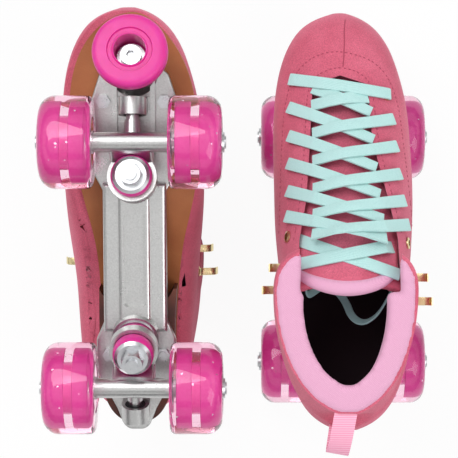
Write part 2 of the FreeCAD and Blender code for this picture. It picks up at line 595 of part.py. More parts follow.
# ---------------------------------------------------------------- boot sections
# Each section is a closed curve in a plane through a top point on the instep and a
# bottom point on the sole or heel: (top y, top z, bottom y, bottom z, width share on
# the inner side, width share on the outer side, sole share, shift of its middle).
cuff_y, cuff_top = size("cuff_front_y"), size("cuff_front_top")
rear_y, rear_top = -size("cuff_back_y"), size("cuff_back_top")
box_top = size("toe_box_top")
low = ball_z - 2
SECTIONS = [
    (toe - 0.3, ball_z + 19, toe - 0.3, ball_z + 6, 0.12, 0.11, 0.5, -4),
    (toe - 3, ball_z + 27, toe - 2.5, low, 0.29, 0.27, 0.6, -4),
    (toe - 10, box_top - 10, toe - 9, low, 0.54, 0.49, 0.75, -4),
    (toe - 22, box_top - 3, toe - 21, low, 0.75, 0.68, 0.82, -3.5),
    (toe - 39, box_top + 2, toe - 38, low, 0.90, 0.82, 0.88, -3),
    (toe - 60, box_top + 11, toe - 62, low, 0.99, 0.93, 0.90, -2.5),
    (toe - 84, box_top + 26, toe - 90, low, 1.02, 0.97, 0.87, -2),
    (toe - 108, box_top + 43, toe - 122, low, 1.02, 0.98, 0.72, -1.5),
    (toe - 130, box_top + 60, -2, sole_top(-2) - 2, 1.0, 0.94, 0.58, -1.5),
    (cuff_y + 12, cuff_top - 17, -46, sole_top(-46) - 2, 0.94, 0.88, 0.56, -1.5),
    (cuff_y + 5, cuff_top - 8, heel + 14, heel_z - 2, 0.88, 0.83, 0.5, -1.5),
    (cuff_y + 2, cuff_top - 4, heel - 1, heel_z + 24, 0.87, 0.84, 0.24, -1),
    (cuff_y + 1, cuff_top - 2, heel + 3, heel_z + 58, 0.93, 0.88, 0.2, -1.5),
    (cuff_y, cuff_top, rear_y, rear_top, 1.01, 0.92, 0.14, -2),
]
# how much sharper than round each section's lower end is
SHARPER = {11: 1.05, 12: 1.15, 13: 1.3}


def section_wire(index, inset, extra=0.0):
    """The closed curve of one section, drawn in by inset all round."""
    top_y, top_z, low_y, low_z, inner, outer, sole_share, shift = SECTIONS[index]
    forward = max((0.5 * (top_y + low_y) - (toe - 60)) / 60, 0)
    push = -inset * min(forward, 1) ** 2
    high = Vector(shift, top_y + push, top_z)
    down = Vector(shift, low_y + push, low_z)
    line = high - down
    length = line.Length
    unit = line / length
    if index == len(SECTIONS) - 1 and extra:
        lift = Vector(0, -unit.z, unit.y) * extra
        high += lift
        down += lift
    high -= unit * inset
    if index >= 10 or index == 0:
        down += unit * inset * (0.4 if index == 0 else 1)
    length = (high - down).Length
    widest = 0.34 + 0.06 * max(index - 7, 0)
    blunt = 2.1 + 0.12 * max(index - 6, 0)
    points = []
    for side, share in ((1, outer), (-1, inner)):
        wide = max(share * half_width - inset, 2.5)
        foot = max(min(share * half_width * sole_share, wide - 0.5) - inset * 0.6, 1.5)
        arc = []
        for k in range(4):
            angle = math.radians(90 * k / 3)
            x = foot + (wide - foot) * math.sin(angle) ** SHARPER.get(index, 1)
            arc.append((x, widest * (1 - math.cos(angle))))
        for k in range(1, 6):
            angle = math.radians(90 * k / 5)
            x = wide * math.cos(angle) ** (2 / blunt)
            arc.append((x, widest + (1 - widest) * math.sin(angle) ** (2 / blunt)))
        if side < 0:
            arc = arc[::-1][1:]
        points += [down + unit * (share_up * length) + Vector(side * x, 0, 0)
                   for x, share_up in arc]
    curve = Part.BSplineCurve()
    curve.interpolate(points)
    closing = Part.LineSegment(points[-1], points[0])
    return Part.Wire([curve.toShape(), closing.toShape()])


def boot_solid(inset_at, extra=0.0):
    """The boot's outer form drawn in by inset_at(index) at each section."""
    last = len(SECTIONS) - 1
    wires = [section_wire(index, inset_at(index)) for index in range(len(SECTIONS))]
    form = Part.makeLoft(wires, True, False)
    if extra:
        lid = Part.makeLoft([wires[-1], section_wire(last, inset_at(last), extra)], True, True)
        form = form.fuse(lid)
    return form


ABOVE_CUFF = 30
BELOW_SOLE = 40
wall = size("upper_wall")
lining_wall = size("lining_wall")
pad = size("collar_pad")
# how much of the collar's padding each section has
PAD_SHARE = {10: 0.15, 11: 0.35, 12: 0.7, 13: 1.0}
under_sole = side_band(lambda y: sole_top(y) - BELOW_SOLE, sole_top, heel - 20, toe + 20, 90)
outer_form = boot_solid(lambda index: 0.0)
upper_room = boot_solid(lambda index: wall, ABOVE_CUFF)
foot_room = boot_solid(lambda index: wall + lining_wall + pad * PAD_SHARE.get(index, 0), ABOVE_CUFF)


boot_skin = max(outer_form.Faces, key=lambda face: face.Area).Surface


def on_boot(x, y):
    """The highest point of the boot's skin over (x, y)."""
    line = Part.Line(Vector(x, y, 60), Vector(x, y, 320))
    points = [Vector(point.X, point.Y, point.Z) for point in line.intersectCS(boot_skin)[0]]
    return max(points, key=lambda point: point.z)


def boot_normal(x, y):
    """The boot's outward normal over (x, y)."""
    step = 1.5
    across = on_boot(x + step, y) - on_boot(x - step, y)
    along = on_boot(x, y + step) - on_boot(x, y - step)
    return across.cross(along).normalize()


# the throat: an opening down the instep, with a rounded end at the vamp
THROAT = [(-23, toe - 50, 13), (-25, toe - 88, 15), (-28, toe - 126, 24), (-32.5, toe - 150, 29),
          (-34, cuff_y - 30, 31)]
throat_end = toe - 44
right_edge = [Vector(x, y, 95) for left, y, x in THROAT]
left_edge = [Vector(left, y, 95) for left, y, x in reversed(THROAT)]
throat_wire = Part.makePolygon([Vector(-5, throat_end, 95)] + right_edge + left_edge
                               + [Vector(-5, throat_end, 95)])
throat = Part.Face(throat_wire).extrude(Vector(0, 0, 200))

# ---------------------------------------------------------------- tongue
TONGUE_PATH = [(toe - 49, box_top - 5), (toe - 70, box_top + 9), (toe - 100, box_top + 30),
               (toe - 130, box_top + 51), (toe - 152, box_top + 67), (cuff_y - 22, cuff_top - 9)]
TONGUE_HALF = [22, 27, 33, 37, 38, 34]
TONGUE_DROP = [3, 7, 11, 15, 17, 15]


def tongue_form(grow):
    """The tongue: an arched pad along the instep, grown all round by a clearance."""
    wires = []
    deep = size("tongue_thick")
    for index, (y, z) in enumerate(TONGUE_PATH):
        before = TONGUE_PATH[max(index - 1, 0)]
        after = TONGUE_PATH[min(index + 1, len(TONGUE_PATH) - 1)]
        run = Vector(0, after[0] - before[0], after[1] - before[1]).normalize()
        normal = Vector(0, run.z, -run.y)
        if normal.z < 0:
            normal = normal * -1
        centre = Vector(-3, y, z)
        if grow and index in (0, len(TONGUE_PATH) - 1):
            centre += run * (grow * (4 if index else -4))
        half_wide = TONGUE_HALF[index] + grow
        drop = TONGUE_DROP[index]

        def bow(share, offset):
            return (centre + Vector(half_wide * share, 0, 0)
                    + normal * (offset - drop * share * share))
        upper_row = [bow(k / 4, grow) for k in range(-4, 5)]
        lower_row = [bow(0.97 * k / 4, -deep - grow) for k in range(4, -5, -1)]
        upper_edge = Part.BSplineCurve()
        upper_edge.interpolate(upper_row)
        lower_edge = Part.BSplineCurve()
        lower_edge.interpolate(lower_row)
        wires.append(Part.Wire([upper_edge.toShape(),
                                Part.makeLine(upper_row[-1], lower_row[0]),
                                lower_edge.toShape(),
                                Part.makeLine(lower_row[-1], upper_row[0])]))
    return Part.makeLoft(wires, True, False)


tongue_gap = size("tongue_gap")
tongue_room = boot_solid(lambda index: wall + tongue_gap, ABOVE_CUFF)
tongue = tongue_form(0).common(tongue_room)
tongue = max(tongue.Solids, key=lambda piece: piece.Volume)
parts["tongue"] = solid_shape("tongue_shape", tongue)

# ---------------------------------------------------------------- upper and lining
upper = outer_form.cut(upper_room).cut(under_sole).cut(throat)
EYELET_ROWS = [(-35, 111, 25, 101), (-36, 92, 27, 84), (-36, 73, 28.5, 66), (-36.5, 55, 30, 48),
               (-37, 37, 32, 31), (-38, 21, 34, 16), (-39.5, 9, 36, 5)]
eyelets = []
upper_holes = []
lining_holes = []
hole_r = size("eyelet_hole_dia") / 2
barrel_r = hole_r + size("eyelet_wall")
lip = size("eyelet_lip")
seat_gap = size("eyelet_seat_gap")
dome_height = size("eyelet_dome")
for left_x, left_y, right_x, right_y in EYELET_ROWS:
    for x, y in ((left_x, left_y), (right_x, right_y)):
        seat = on_boot(x, y)
        normal = boot_normal(x, y)
        rise = seat + normal * seat_gap
        flange_disc = Part.makeCylinder(size("eyelet_dia") / 2, lip, rise, normal)
        dome = Part.makeCone(size("eyelet_dia") / 2, barrel_r, dome_height, rise + normal * lip, normal)
        barrel = Part.makeCylinder(barrel_r, wall + lip + 2 * seat_gap, seat - normal * (wall + seat_gap),
                                   normal)
        bore = Part.makeCylinder(hole_r, 10, seat - normal * 5, normal)
        eyelets.append(flange_disc.fuse([dome, barrel]).cut(bore))
        upper_holes.append(Part.makeCylinder(barrel_r + 0.02, 8, seat - normal * 5, normal))
        lining_holes.append(Part.makeCylinder(hole_r + 0.8, wall + lining_wall + 4,
                                              seat - normal * (wall + lining_wall + 3), normal))
upper = upper.cut(upper_holes)
parts["eyelets"] = solid_shape("eyelets_shape", Part.makeCompound(eyelets))
parts["upper"] = solid_shape("upper_shape", max(upper.Solids, key=lambda piece: piece.Volume))

lining = boot_solid(lambda index: wall).cut(foot_room).cut(under_sole).cut(throat)
lining = lining.cut([tongue_form(tongue_gap)] + lining_holes)
parts["collar_lining"] = solid_shape("lining_shape", max(lining.Solids, key=lambda p: p.Volume))

footbed_column = foot_room.common(side_band(sole_top, lambda y: sole_top(y) + size("footbed_thick"),
                                            heel - 20, toe + 20, 90))
footbed = max(footbed_column.Solids, key=lambda piece: piece.Volume)
parts["footbed"] = solid_shape("footbed_shape", footbed)

# ---------------------------------------------------------------- laces
lace_half = size("lace_width") / 2
lace_thick = size("lace_thick")
OVER_LIP = seat_gap + lip + dome_height + size("lace_clear")


def lace_strip(spots, lifts, height_at, normal_at):
    """A flat strip through (x, y) spots, its underside lifts clear of height_at."""
    wires = []
    normals = [normal_at(x, y) for x, y in spots]
    centres = [height_at(x, y) + normal * lift
               for (x, y), normal, lift in zip(spots, normals, lifts)]
    for index, (centre, normal) in enumerate(zip(centres, normals)):
        before = centres[max(index - 1, 0)]
        after = centres[min(index + 1, len(centres) - 1)]
        across = (after - before).cross(normal).normalize()
        corners = [centre + across * side * lace_half + normal * level
                   for side, level in ((-1, 0), (1, 0), (1, lace_thick), (-1, lace_thick))]
        wires.append(Part.makePolygon(corners + corners[:1]))
    return Part.makeLoft(wires, True, True)


def between(start, end, shares):
    return [(start[0] + (end[0] - start[0]) * s, start[1] + (end[1] - start[1]) * s)
            for s in shares]


def tongue_height(x, y):
    """The tongue's upper face, from its path and bow."""
    spans = list(zip(TONGUE_PATH, TONGUE_PATH[1:], TONGUE_DROP, TONGUE_DROP[1:],
                     TONGUE_HALF, TONGUE_HALF[1:]))
    for low_end, high_end, drop_a, drop_b, half_a, half_b in spans:
        if y >= high_end[0]:
            break
    share = (low_end[0] - y) / (low_end[0] - high_end[0])
    z = low_end[1] + (high_end[1] - low_end[1]) * share
    drop = drop_a + (drop_b - drop_a) * share
    wide = half_a + (half_b - half_a) * share
    return Vector(x, y, z - drop * (x / wide) ** 2)


def tongue_normal(x, y):
    step = 1.5
    across = tongue_height(x + step, y) - tongue_height(x - step, y)
    along = tongue_height(x, y + step) - tongue_height(x, y - step)
    return across.cross(along).normalize()


strips = []
first = EYELET_ROWS[0]
strips.append(lace_strip(between(first[:2], first[2:], (0, 0.3, 0.5, 0.7, 1)),
                         (OVER_LIP, 1.6, 1.8, 1.6, OVER_LIP), on_boot, boot_normal))
SHARES = (0, 0.2, 0.4, 0.5, 0.6, 0.8)
for index, (row, following) in enumerate(zip(EYELET_ROWS, EYELET_ROWS[1:])):
    # the first crossing starts inside the boot, the others come out of their eyelets
    start = 0 if index else 1
    under_lifts = (OVER_LIP, 1.2 if index else -0.6, 0.8, 0.6, 0.2, -0.6)
    over_lifts = (OVER_LIP, 1.6 if index else -0.6, 2.3, 2.3, 1.8, -0.4)
    for from_spot, to_spot, lifts in ((row[:2], following[2:], under_lifts),
                                      (row[2:], following[:2], over_lifts)):
        strip = lace_strip(between(from_spot, to_spot, SHARES)[start:], lifts[start:],
                           on_boot, boot_normal)
        if index < 2:
            strip = strip.cut(parts["upper"].Shape)
        strips.append(max(strip.Solids, key=lambda piece: piece.Volume))
last = EYELET_ROWS[-1]
tuck_right = (28, -15)
tuck_left = (-31, -9)
for start, end, lift in ((last[:2], tuck_right, 1.2), (last[2:], tuck_left, 2.8)):
    seat = on_boot(*start) + boot_normal(*start) * OVER_LIP
    rise = seat.z - tongue_height(*start).z
    strip = lace_strip(between(start, end, (0, 0.25, 0.5, 0.75, 1)),
                       (rise, max(lift, 0.5 * rise), lift, lift, lift),
                       tongue_height, tongue_normal)
    strip = strip.cut([parts["upper"].Shape, parts["collar_lining"].Shape, parts["tongue"].Shape])
    strips.append(max(strip.Solids, key=lambda piece: piece.Volume))
parts["laces"] = solid_shape("laces_shape", Part.makeCompound(strips))

# ---------------------------------------------------------------- lace tail
# The spare lace is tucked inside the cuff: it drops in beside the tongue, shows as
# two bights behind it and goes back up on the other side.
TAIL_ROUTE = [(26, -21, 181), (22, -31, 175), (16, -41, 169), (8, -46, 162), (1, -42, 154),
              (-2, -33, 147), (-8, -25, 143), (-17, -22, 145), (-23, -26, 152),
              (-27, -28, 161), (-29, -23, 170), (-29, -16, 178)]


def cord_solid(route, radius):
    """A tube of straight runs joined by tangent arcs."""
    points = [Vector(*point) for point in route]
    edges = []
    start = points[0]
    radii = []
    for before, corner, after in zip(points, points[1:], points[2:]):
        come = (corner - before)
        leave = (after - corner)
        half_turn = come.getAngle(leave) / 2
        reach = 0.45 * min(come.Length, leave.Length)
        come.normalize()
        leave.normalize()
        arc_start = corner - come * reach
        arc_end = corner + leave * reach
        radii.append(reach / math.tan(half_turn))
        away = (leave - come).normalize()
        centre = corner + away * (radii[-1] / math.cos(half_turn))
        middle = centre - away * radii[-1]
        edges.append(Part.makeLine(start, arc_start))
        edges.append(Part.Arc(arc_start, middle, arc_end).toShape())
        start = arc_end
    edges.append(Part.makeLine(start, points[-1]))
    path = Part.Wire(edges)
    disc = Part.Wire(Part.makeCircle(radius, points[0], points[1] - points[0]))
    tube_solid = path.makePipeShell([disc], True, True)
    expected = math.pi * radius * radius * path.Length
    print("cord radii", [round(value, 1) for value in radii], "length", round(path.Length, 1),
          "volume share", round(tube_solid.Volume / expected, 4))
    return tube_solid


parts["lace_tail"] = solid_shape("lace_tail_shape", cord_solid(TAIL_ROUTE, size("tail_dia") / 2))

# ---------------------------------------------------------------- lace hooks
hooks = []
for side, y, z in ((-1, -10, 184), (-1, -22, 176), (1, -13, 184), (1, -26, 176)):
    line = Part.Line(Vector(0, y, z), Vector(side, y, z))
    hits = [Vector(point.X, point.Y, point.Z) for point in line.intersectCS(boot_skin)[0]]
    seat = max(hits, key=lambda point: point.x * side)
    out = Vector(side, 0, 0.12).normalize()
    disc = Part.makeCylinder(4.2, 1.8, seat - out * 1.0, out)
    neck = Part.makeCylinder(1.7, 5.4, seat, out)
    cap = Part.makeCylinder(3.4, 1.2, seat + out * 4.6 + Vector(0, -1.2, 0.8), out)
    hooks.append(disc.fuse([neck, cap]).cut(upper).removeSplitter())
hooks = [max(piece.Solids, key=lambda item: item.Volume) for piece in hooks]
parts["lace_hooks"] = solid_shape("lace_hooks_shape", Part.makeCompound(hooks))

# ---------------------------------------------------------------- pull loop
# Webbing folded in two and stitched to the back of the cuff.
loop_half = size("loop_width") / 2
loop_thick = size("loop_thick")
LOOP_LINE = [(1, -3), (-8, -4), (-17, -8), (-24, -15), (-26, -23), (-22, -30), (-14, -35),
             (-11.5, -42)]


def loop_curve(offset):
    """The loop's side line beside the cuff's back edge, moved out by offset."""
    points = []
    for index, (y, z) in enumerate(LOOP_LINE):
        before = LOOP_LINE[max(index - 1, 0)]
        after = LOOP_LINE[min(index + 1, len(LOOP_LINE) - 1)]
        run = Vector(0, after[0] - before[0], after[1] - before[1]).normalize()
        normal = Vector(0, run.z, -run.y)
        points.append(Vector(-loop_half, rear_y + y, rear_top + z) + normal * offset)
    curve = Part.BSplineCurve()
    curve.interpolate(points)
    return curve


outside, inside = loop_curve(0), loop_curve(loop_thick)
loop_wire = Part.Wire([outside.toShape(), Part.makeLine(outside.EndPoint, inside.EndPoint),
                       inside.toShape(), Part.makeLine(inside.StartPoint, outside.StartPoint)])
loop = Part.Face(loop_wire).extrude(Vector(2 * loop_half, 0, 0))
loop.rotate(Vector(0, rear_y, 0), Vector(0, 0, 1), -size("loop_slant"))
loop.translate(Vector(-size("loop_shift"), 0, 0))
loop = loop.cut([parts["upper"].Shape, parts["collar_lining"].Shape])
parts["pull_loop"] = solid_shape("pull_loop_shape", max(loop.Solids, key=lambda p: p.Volume))
doc.recompute()

# ---------------------------------------------------------------- the pair
# The left skate is mirrored, turned over and pitched until its cuff rim lies level.
cuff_slope = math.degrees(math.atan2(cuff_top - rear_top, cuff_y - rear_y))
turn_over = Rotation(Vector(1, 0, 0), cuff_slope) * Rotation(Vector(0, 1, 0), 180)
rim_point = turn_over.multVec(Vector(0, cuff_y, cuff_top))
left_place = Placement(Vector(size("left_x"), size("left_y"), -rim_point.z), turn_over)
nodes = []
for name, item in parts.items():
    right = group("right_" + name + "_node", [item])
    right.Label = "right_" + name
    place(right, x="right_x", y="right_y")
    mirrored = doc.addObject("Part::Mirroring", "left_" + name + "_node")
    mirrored.Source = group(name + "_source", [item])
    mirrored.Normal = (1, 0, 0)
    mirrored.Label = "left_" + name
    mirrored.Placement = left_place
    nodes += [right, mirrored]
doc.recompute()

failed = [item.Name for item in doc.Objects if {"Invalid", "Error"} & set(item.State)]
if failed:
    raise RuntimeError("failed objects: %s" % failed)
os.makedirs("parts", exist_ok=True)
for item in nodes:
    shape = item.Shape
    if shape.isNull() or not shape.isValid() or not shape.Solids:
        raise RuntimeError("bad shape: " + item.Label)
    shape.exportStep("parts/%s.step" % item.Label)
print("%d nodes, %d solids" % (len(nodes), sum(len(item.Shape.Solids) for item in nodes)))
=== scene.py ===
import json
import math

import bmesh
import bpy
from mathutils import Matrix, Vector
from mathutils.bvhtree import BVHTree

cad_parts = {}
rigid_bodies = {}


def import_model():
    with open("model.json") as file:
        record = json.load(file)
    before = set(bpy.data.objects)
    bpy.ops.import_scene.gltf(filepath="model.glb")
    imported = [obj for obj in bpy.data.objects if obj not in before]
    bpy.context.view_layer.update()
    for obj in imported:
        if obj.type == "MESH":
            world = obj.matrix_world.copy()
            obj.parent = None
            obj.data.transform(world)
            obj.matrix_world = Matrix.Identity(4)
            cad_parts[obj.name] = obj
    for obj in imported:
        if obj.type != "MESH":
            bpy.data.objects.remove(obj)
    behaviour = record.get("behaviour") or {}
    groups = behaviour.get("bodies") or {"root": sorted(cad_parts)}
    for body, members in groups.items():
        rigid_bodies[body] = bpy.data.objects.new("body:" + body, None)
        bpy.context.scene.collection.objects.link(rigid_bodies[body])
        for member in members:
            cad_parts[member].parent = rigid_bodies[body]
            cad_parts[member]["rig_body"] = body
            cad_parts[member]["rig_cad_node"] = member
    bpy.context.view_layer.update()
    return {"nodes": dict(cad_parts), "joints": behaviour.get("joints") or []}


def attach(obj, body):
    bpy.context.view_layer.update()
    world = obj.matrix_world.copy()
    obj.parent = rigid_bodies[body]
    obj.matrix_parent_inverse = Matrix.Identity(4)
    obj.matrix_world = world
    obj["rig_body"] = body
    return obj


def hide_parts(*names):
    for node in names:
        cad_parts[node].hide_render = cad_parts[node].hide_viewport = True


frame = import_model()
MM = 0.001

# The ground, the light and the camera.
# A pale studio sweep under one large soft box, seen from straight above the pair.
CAMERA_HEIGHT = 1.45
CAMERA_X = 0.012
CAMERA_Y = -0.0006
VIEW_WIDTH = 0.3258
SENSOR = 36.0
SHADOW_HIDDEN = 0.93


def linear(code):
    """An sRGB hex colour as linear red, green, blue and alpha."""
    channels = [int(code[k:k + 2], 16) / 255 for k in (1, 3, 5)]
    return tuple(c / 12.92 if c <= 0.04045 else ((c + 0.055) / 1.055) ** 2.4
                 for c in channels) + (1.0,)


def add_node(tree, kind, settings=None, links=None):
    """Add a node; settings fill attributes or input values, links join its inputs."""
    item = tree.nodes.new(kind)
    for name, value in (settings or {}).items():
        if isinstance(name, str) and hasattr(item, name) and name not in item.inputs:
            setattr(item, name, value)
        else:
            item.inputs[name].default_value = value
    for name, output in (links or {}).items():
        tree.links.new(output, item.inputs[name])
    return item


def new_material(name):
    """An empty node material with its output; returns the material, tree and output."""
    finish = bpy.data.materials.new(name)
    finish.use_nodes = True
    finish.node_tree.nodes.clear()
    return finish, finish.node_tree, finish.node_tree.nodes.new("ShaderNodeOutputMaterial")


floor_finish, tree, output = new_material("studio_paper")
paper = add_node(tree, "ShaderNodeBsdfDiffuse", {"Color": linear("#f2f2f2")})
glow = add_node(tree, "ShaderNodeEmission", {"Color": (1, 1, 1, 1), "Strength": 1.0})
rays = add_node(tree, "ShaderNodeLightPath")
seen = add_node(tree, "ShaderNodeMath", {"operation": "MAXIMUM"},
                {0: rays.outputs["Is Glossy Ray"], 1: rays.outputs["Is Transmission Ray"]})
straight = add_node(tree, "ShaderNodeMath", {"operation": "MULTIPLY_ADD", 1: SHADOW_HIDDEN},
                    {0: rays.outputs["Is Camera Ray"], 2: seen.outputs[0]})
mix = add_node(tree, "ShaderNodeMixShader", links={
    "Fac": straight.outputs[0], 1: paper.outputs[0], 2: glow.outputs[0]})
tree.links.new(mix.outputs[0], output.inputs["Surface"])
bpy.ops.mesh.primitive_plane_add(size=8, location=(0, 0, -0.0002))
floor = bpy.context.object
floor.name = "studio_floor"
floor.data.materials.append(floor_finish)

world = bpy.data.worlds.new("studio")
bpy.context.scene.world = world
world.use_nodes = True
sky = world.node_tree.nodes["Background"]
sky.inputs["Color"].default_value = (1, 1, 1, 1)
sky.inputs["Strength"].default_value = 0.62
# polished metal sees the studio's bright ceiling, its dim walls and one dark gap
room = add_node(world.node_tree, "ShaderNodeTexCoord")
split = add_node(world.node_tree, "ShaderNodeSeparateXYZ", links={0: room.outputs["Generated"]})
bands = add_node(world.node_tree, "ShaderNodeValToRGB", links={"Fac": split.outputs["Z"]})
bands.color_ramp.elements[0].position = 0.0
bands.color_ramp.elements[0].color = (0.16, 0.16, 0.17, 1)
bands.color_ramp.elements[1].position = 0.99
bands.color_ramp.elements[1].color = (1.0, 1.0, 1.0, 1)
for position, level in ((0.3, 0.22), (0.42, 0.9), (0.66, 1.0), (0.74, 0.28), (0.84, 0.32), (0.9, 1.0)):
    stop = bands.color_ramp.elements.new(position)
    stop.color = (level, level, level, 1)
studio = add_node(world.node_tree, "ShaderNodeBackground", {"Strength": 1.1},
                  {"Color": bands.outputs["Color"]})
path = add_node(world.node_tree, "ShaderNodeLightPath")
either = add_node(world.node_tree, "ShaderNodeMixShader", links={
    "Fac": path.outputs["Is Glossy Ray"], 1: sky.outputs[0], 2: studio.outputs[0]})
world.node_tree.links.new(either.outputs[0], world.node_tree.nodes["World Output"].inputs["Surface"])
for name, place, width, power in (("key", (-0.5, 0.7, 1.5), 1.0, 13), ("fill", (0.8, -0.5, 1.3), 0.9, 7)):
    bpy.ops.object.light_add(type="AREA", location=place)
    lamp = bpy.context.object
    lamp.name = "light_" + name
    lamp.data.size = width
    lamp.data.energy = power
    lamp.rotation_euler = (Vector((0, 0, 0.1)) - Vector(place)).to_track_quat("-Z", "Y").to_euler()

bpy.ops.object.camera_add(location=(CAMERA_X, CAMERA_Y, CAMERA_HEIGHT), rotation=(0, 0, 0))
camera = bpy.context.object
camera.data.sensor_width = SENSOR
camera.data.lens = SENSOR * CAMERA_HEIGHT / VIEW_WIDTH
camera.data.shift_x = -CAMERA_X / VIEW_WIDTH - 0.033
bpy.context.scene.camera = camera
bpy.context.scene.view_settings.view_transform = "Standard"

# The two skates.
# The left one is the right one mirrored, turned over and pitched, so every new piece
# is made for the right skate and then carried over to the left.
hubs = {joint["child"]: Vector(joint["pos_m"]) for joint in frame["joints"]
        if joint.get("continuous")}


def axle_middle(side, end):
    inner = hubs["%s_%s_inner_wheel" % (side, end)]
    outer = hubs["%s_%s_outer_wheel" % (side, end)]
    return (inner + outer) / 2


right_middle = (axle_middle("right", "front") + axle_middle("right", "rear")) / 2
left_middle = (axle_middle("left", "front") + axle_middle("left", "rear")) / 2
axle_height = right_middle.z
wheelbase = (axle_middle("right", "front") - axle_middle("right", "rear")).length
right_origin = Vector((right_middle.x, right_middle.y, 0))
forward = (axle_middle("left", "front") - axle_middle("left", "rear")).normalized()
upward = Vector((0, forward.z, -forward.y))
turn_over = Matrix((Vector((1, 0, 0)), forward, upward)).transposed()
left_origin = left_middle - upward * axle_height
TO_LEFT = (Matrix.Translation(left_origin) @ turn_over.to_4x4()
           @ Matrix.Translation(-right_origin))


def local(x, y, z):
    """A point of the right skate, in mm from the ground under its middle."""
    return right_origin + Vector((x, y, z)) * MM


def settle(piece, body, replaced, finish=None):
    """Ride a right-hand piece and its left-hand twin on their bodies."""
    if finish is not None:
        piece.data.materials.clear()
        piece.data.materials.append(finish)
    twin = piece.copy()
    twin.data = piece.data.copy()
    bpy.context.collection.objects.link(twin)
    twin.name = "left_" + piece.name
    piece.name = "right_" + piece.name
    twin.data.transform(TO_LEFT)
    twin.data.flip_normals()
    for side, item in (("right_", piece), ("left_", twin)):
        item.data.name = item.name
        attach(item, side + body)
        if replaced:
            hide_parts(*[side + node for node in replaced])
    return piece, twin


# The spare lace.
# It drops in beside the tongue, shows as two bights inside the cuff and goes back up:
# one flat limp cord, 5 mm wide as it lies folded, on the route of the CAD tube.
TAIL_ROUTE = [(26, -21, 181), (22, -31, 175), (16, -41, 169), (8, -46, 162), (1, -42, 154),
              (-2, -33, 147), (-8, -25, 143), (-17, -22, 145), (-23, -26, 152),
              (-27, -28, 161), (-29, -23, 170), (-29, -16, 178)]
TAIL_WIDTH, TAIL_THICK, TAIL_LENGTH = 5.0, 1.2, 120.0

# cotton: matt, ribbed across, greyer than the laced part
tail_cotton, tree, output = new_material("folded_lace_cotton_grey_mint")
place = add_node(tree, "ShaderNodeTexCoord")
ribs = add_node(tree, "ShaderNodeTexWave", {"bands_direction": "X", "Scale": 500.0, "Distortion": 1.0},
                {"Vector": place.outputs["Object"]})
shade = add_node(tree, "ShaderNodeMix", {"data_type": "RGBA", 6: linear("#7fa3a6"), 7: linear("#a9cccb")},
                 {0: ribs.outputs["Fac"]})
cloth = add_node(tree, "ShaderNodeBsdfPrincipled", {"Roughness": 0.9}, {"Base Color": shade.outputs[2]})
tree.links.new(cloth.outputs[0], output.inputs["Surface"])
for side, carry in (("right", Matrix.Identity(4)), ("left", TO_LEFT)):
    bpy.ops.curve.primitive_nurbs_path_add()
    tail = bpy.context.object
    tail.location = (0, 0, 0)
    tail.name = side + "_spare_lace"
    tail.data.splines.clear()
    line = tail.data.splines.new("NURBS")
    line.points.add(len(TAIL_ROUTE) - 1)
    for point, spot in zip(line.points, TAIL_ROUTE):
        point.co = (*(carry @ local(*spot)), 1)
    line.order_u = 3
    line.use_endpoint_u = True
    tail.data.extrude = (TAIL_WIDTH - TAIL_THICK) / 2 * MM
    tail.data.bevel_depth = TAIL_THICK / 2 * MM
    tail.data.bevel_resolution = 3
    tail.data.resolution_u = 8
    tail.data.use_fill_caps = True
    tail.data.materials.append(tail_cotton)
    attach(tail, side + "_boot")
    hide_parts(side + "_lace_tail")

# Wheels.
# Each tyre is clear pink urethane with fine glitter, cast round a magenta nylon core
# that takes two shielded steel ball bearings.
WHEEL_DIA, WHEEL_WIDTH = 58.0, 33.0
CORE_DIA, CORE_WIDTH = 34.0, 24.0
BEARING_DIA, BEARING_WIDTH = 22.0, 7.0
SPIN_STEPS = 96


def rounded_corner(centre, radius, start, end, steps):
    """Points of an arc in the profile plane, from angle start to end in degrees."""
    angles = [math.radians(start + (end - start) * k / steps) for k in range(steps + 1)]
    return [(centre[0] + radius * math.cos(a), centre[1] + radius * math.sin(a)) for a in angles]


def spun(name, profile, centre, axis=(1, 0, 0), steps=SPIN_STEPS):
    """Spin a closed profile of (along, radius) points in mm about an axis through centre."""
    bpy.ops.object.select_all(action="DESELECT")
    bpy.ops.mesh.primitive_circle_add(vertices=len(profile), radius=0.01)
    piece = bpy.context.object
    piece.name = name
    axis = Vector(axis).normalized()
    out = axis.cross(Vector((0, 1, 0)) if abs(axis.y) < 0.9 else Vector((1, 0, 0))).normalized()
    for vertex, (along, radius) in zip(piece.data.vertices, profile):
        vertex.co = centre + axis * along * MM + out * radius * MM
    bpy.ops.object.mode_set(mode="EDIT")
    bpy.ops.mesh.select_all(action="SELECT")
    bpy.ops.mesh.spin(steps=steps, angle=2 * math.pi, center=centre, axis=axis, dupli=False)
    bpy.ops.mesh.select_all(action="SELECT")
    bpy.ops.mesh.remove_doubles(threshold=0.000005)
    bpy.ops.mesh.normals_make_consistent(inside=False)
    bpy.ops.object.mode_set(mode="OBJECT")
    bpy.ops.object.shade_smooth_by_angle(angle=math.radians(32))
    return piece


# cast urethane: glassy, pinker where it is thick, with scattered flakes of glitter
urethane, tree, output = new_material("cast_urethane_clear_pink")
place = add_node(tree, "ShaderNodeTexCoord")
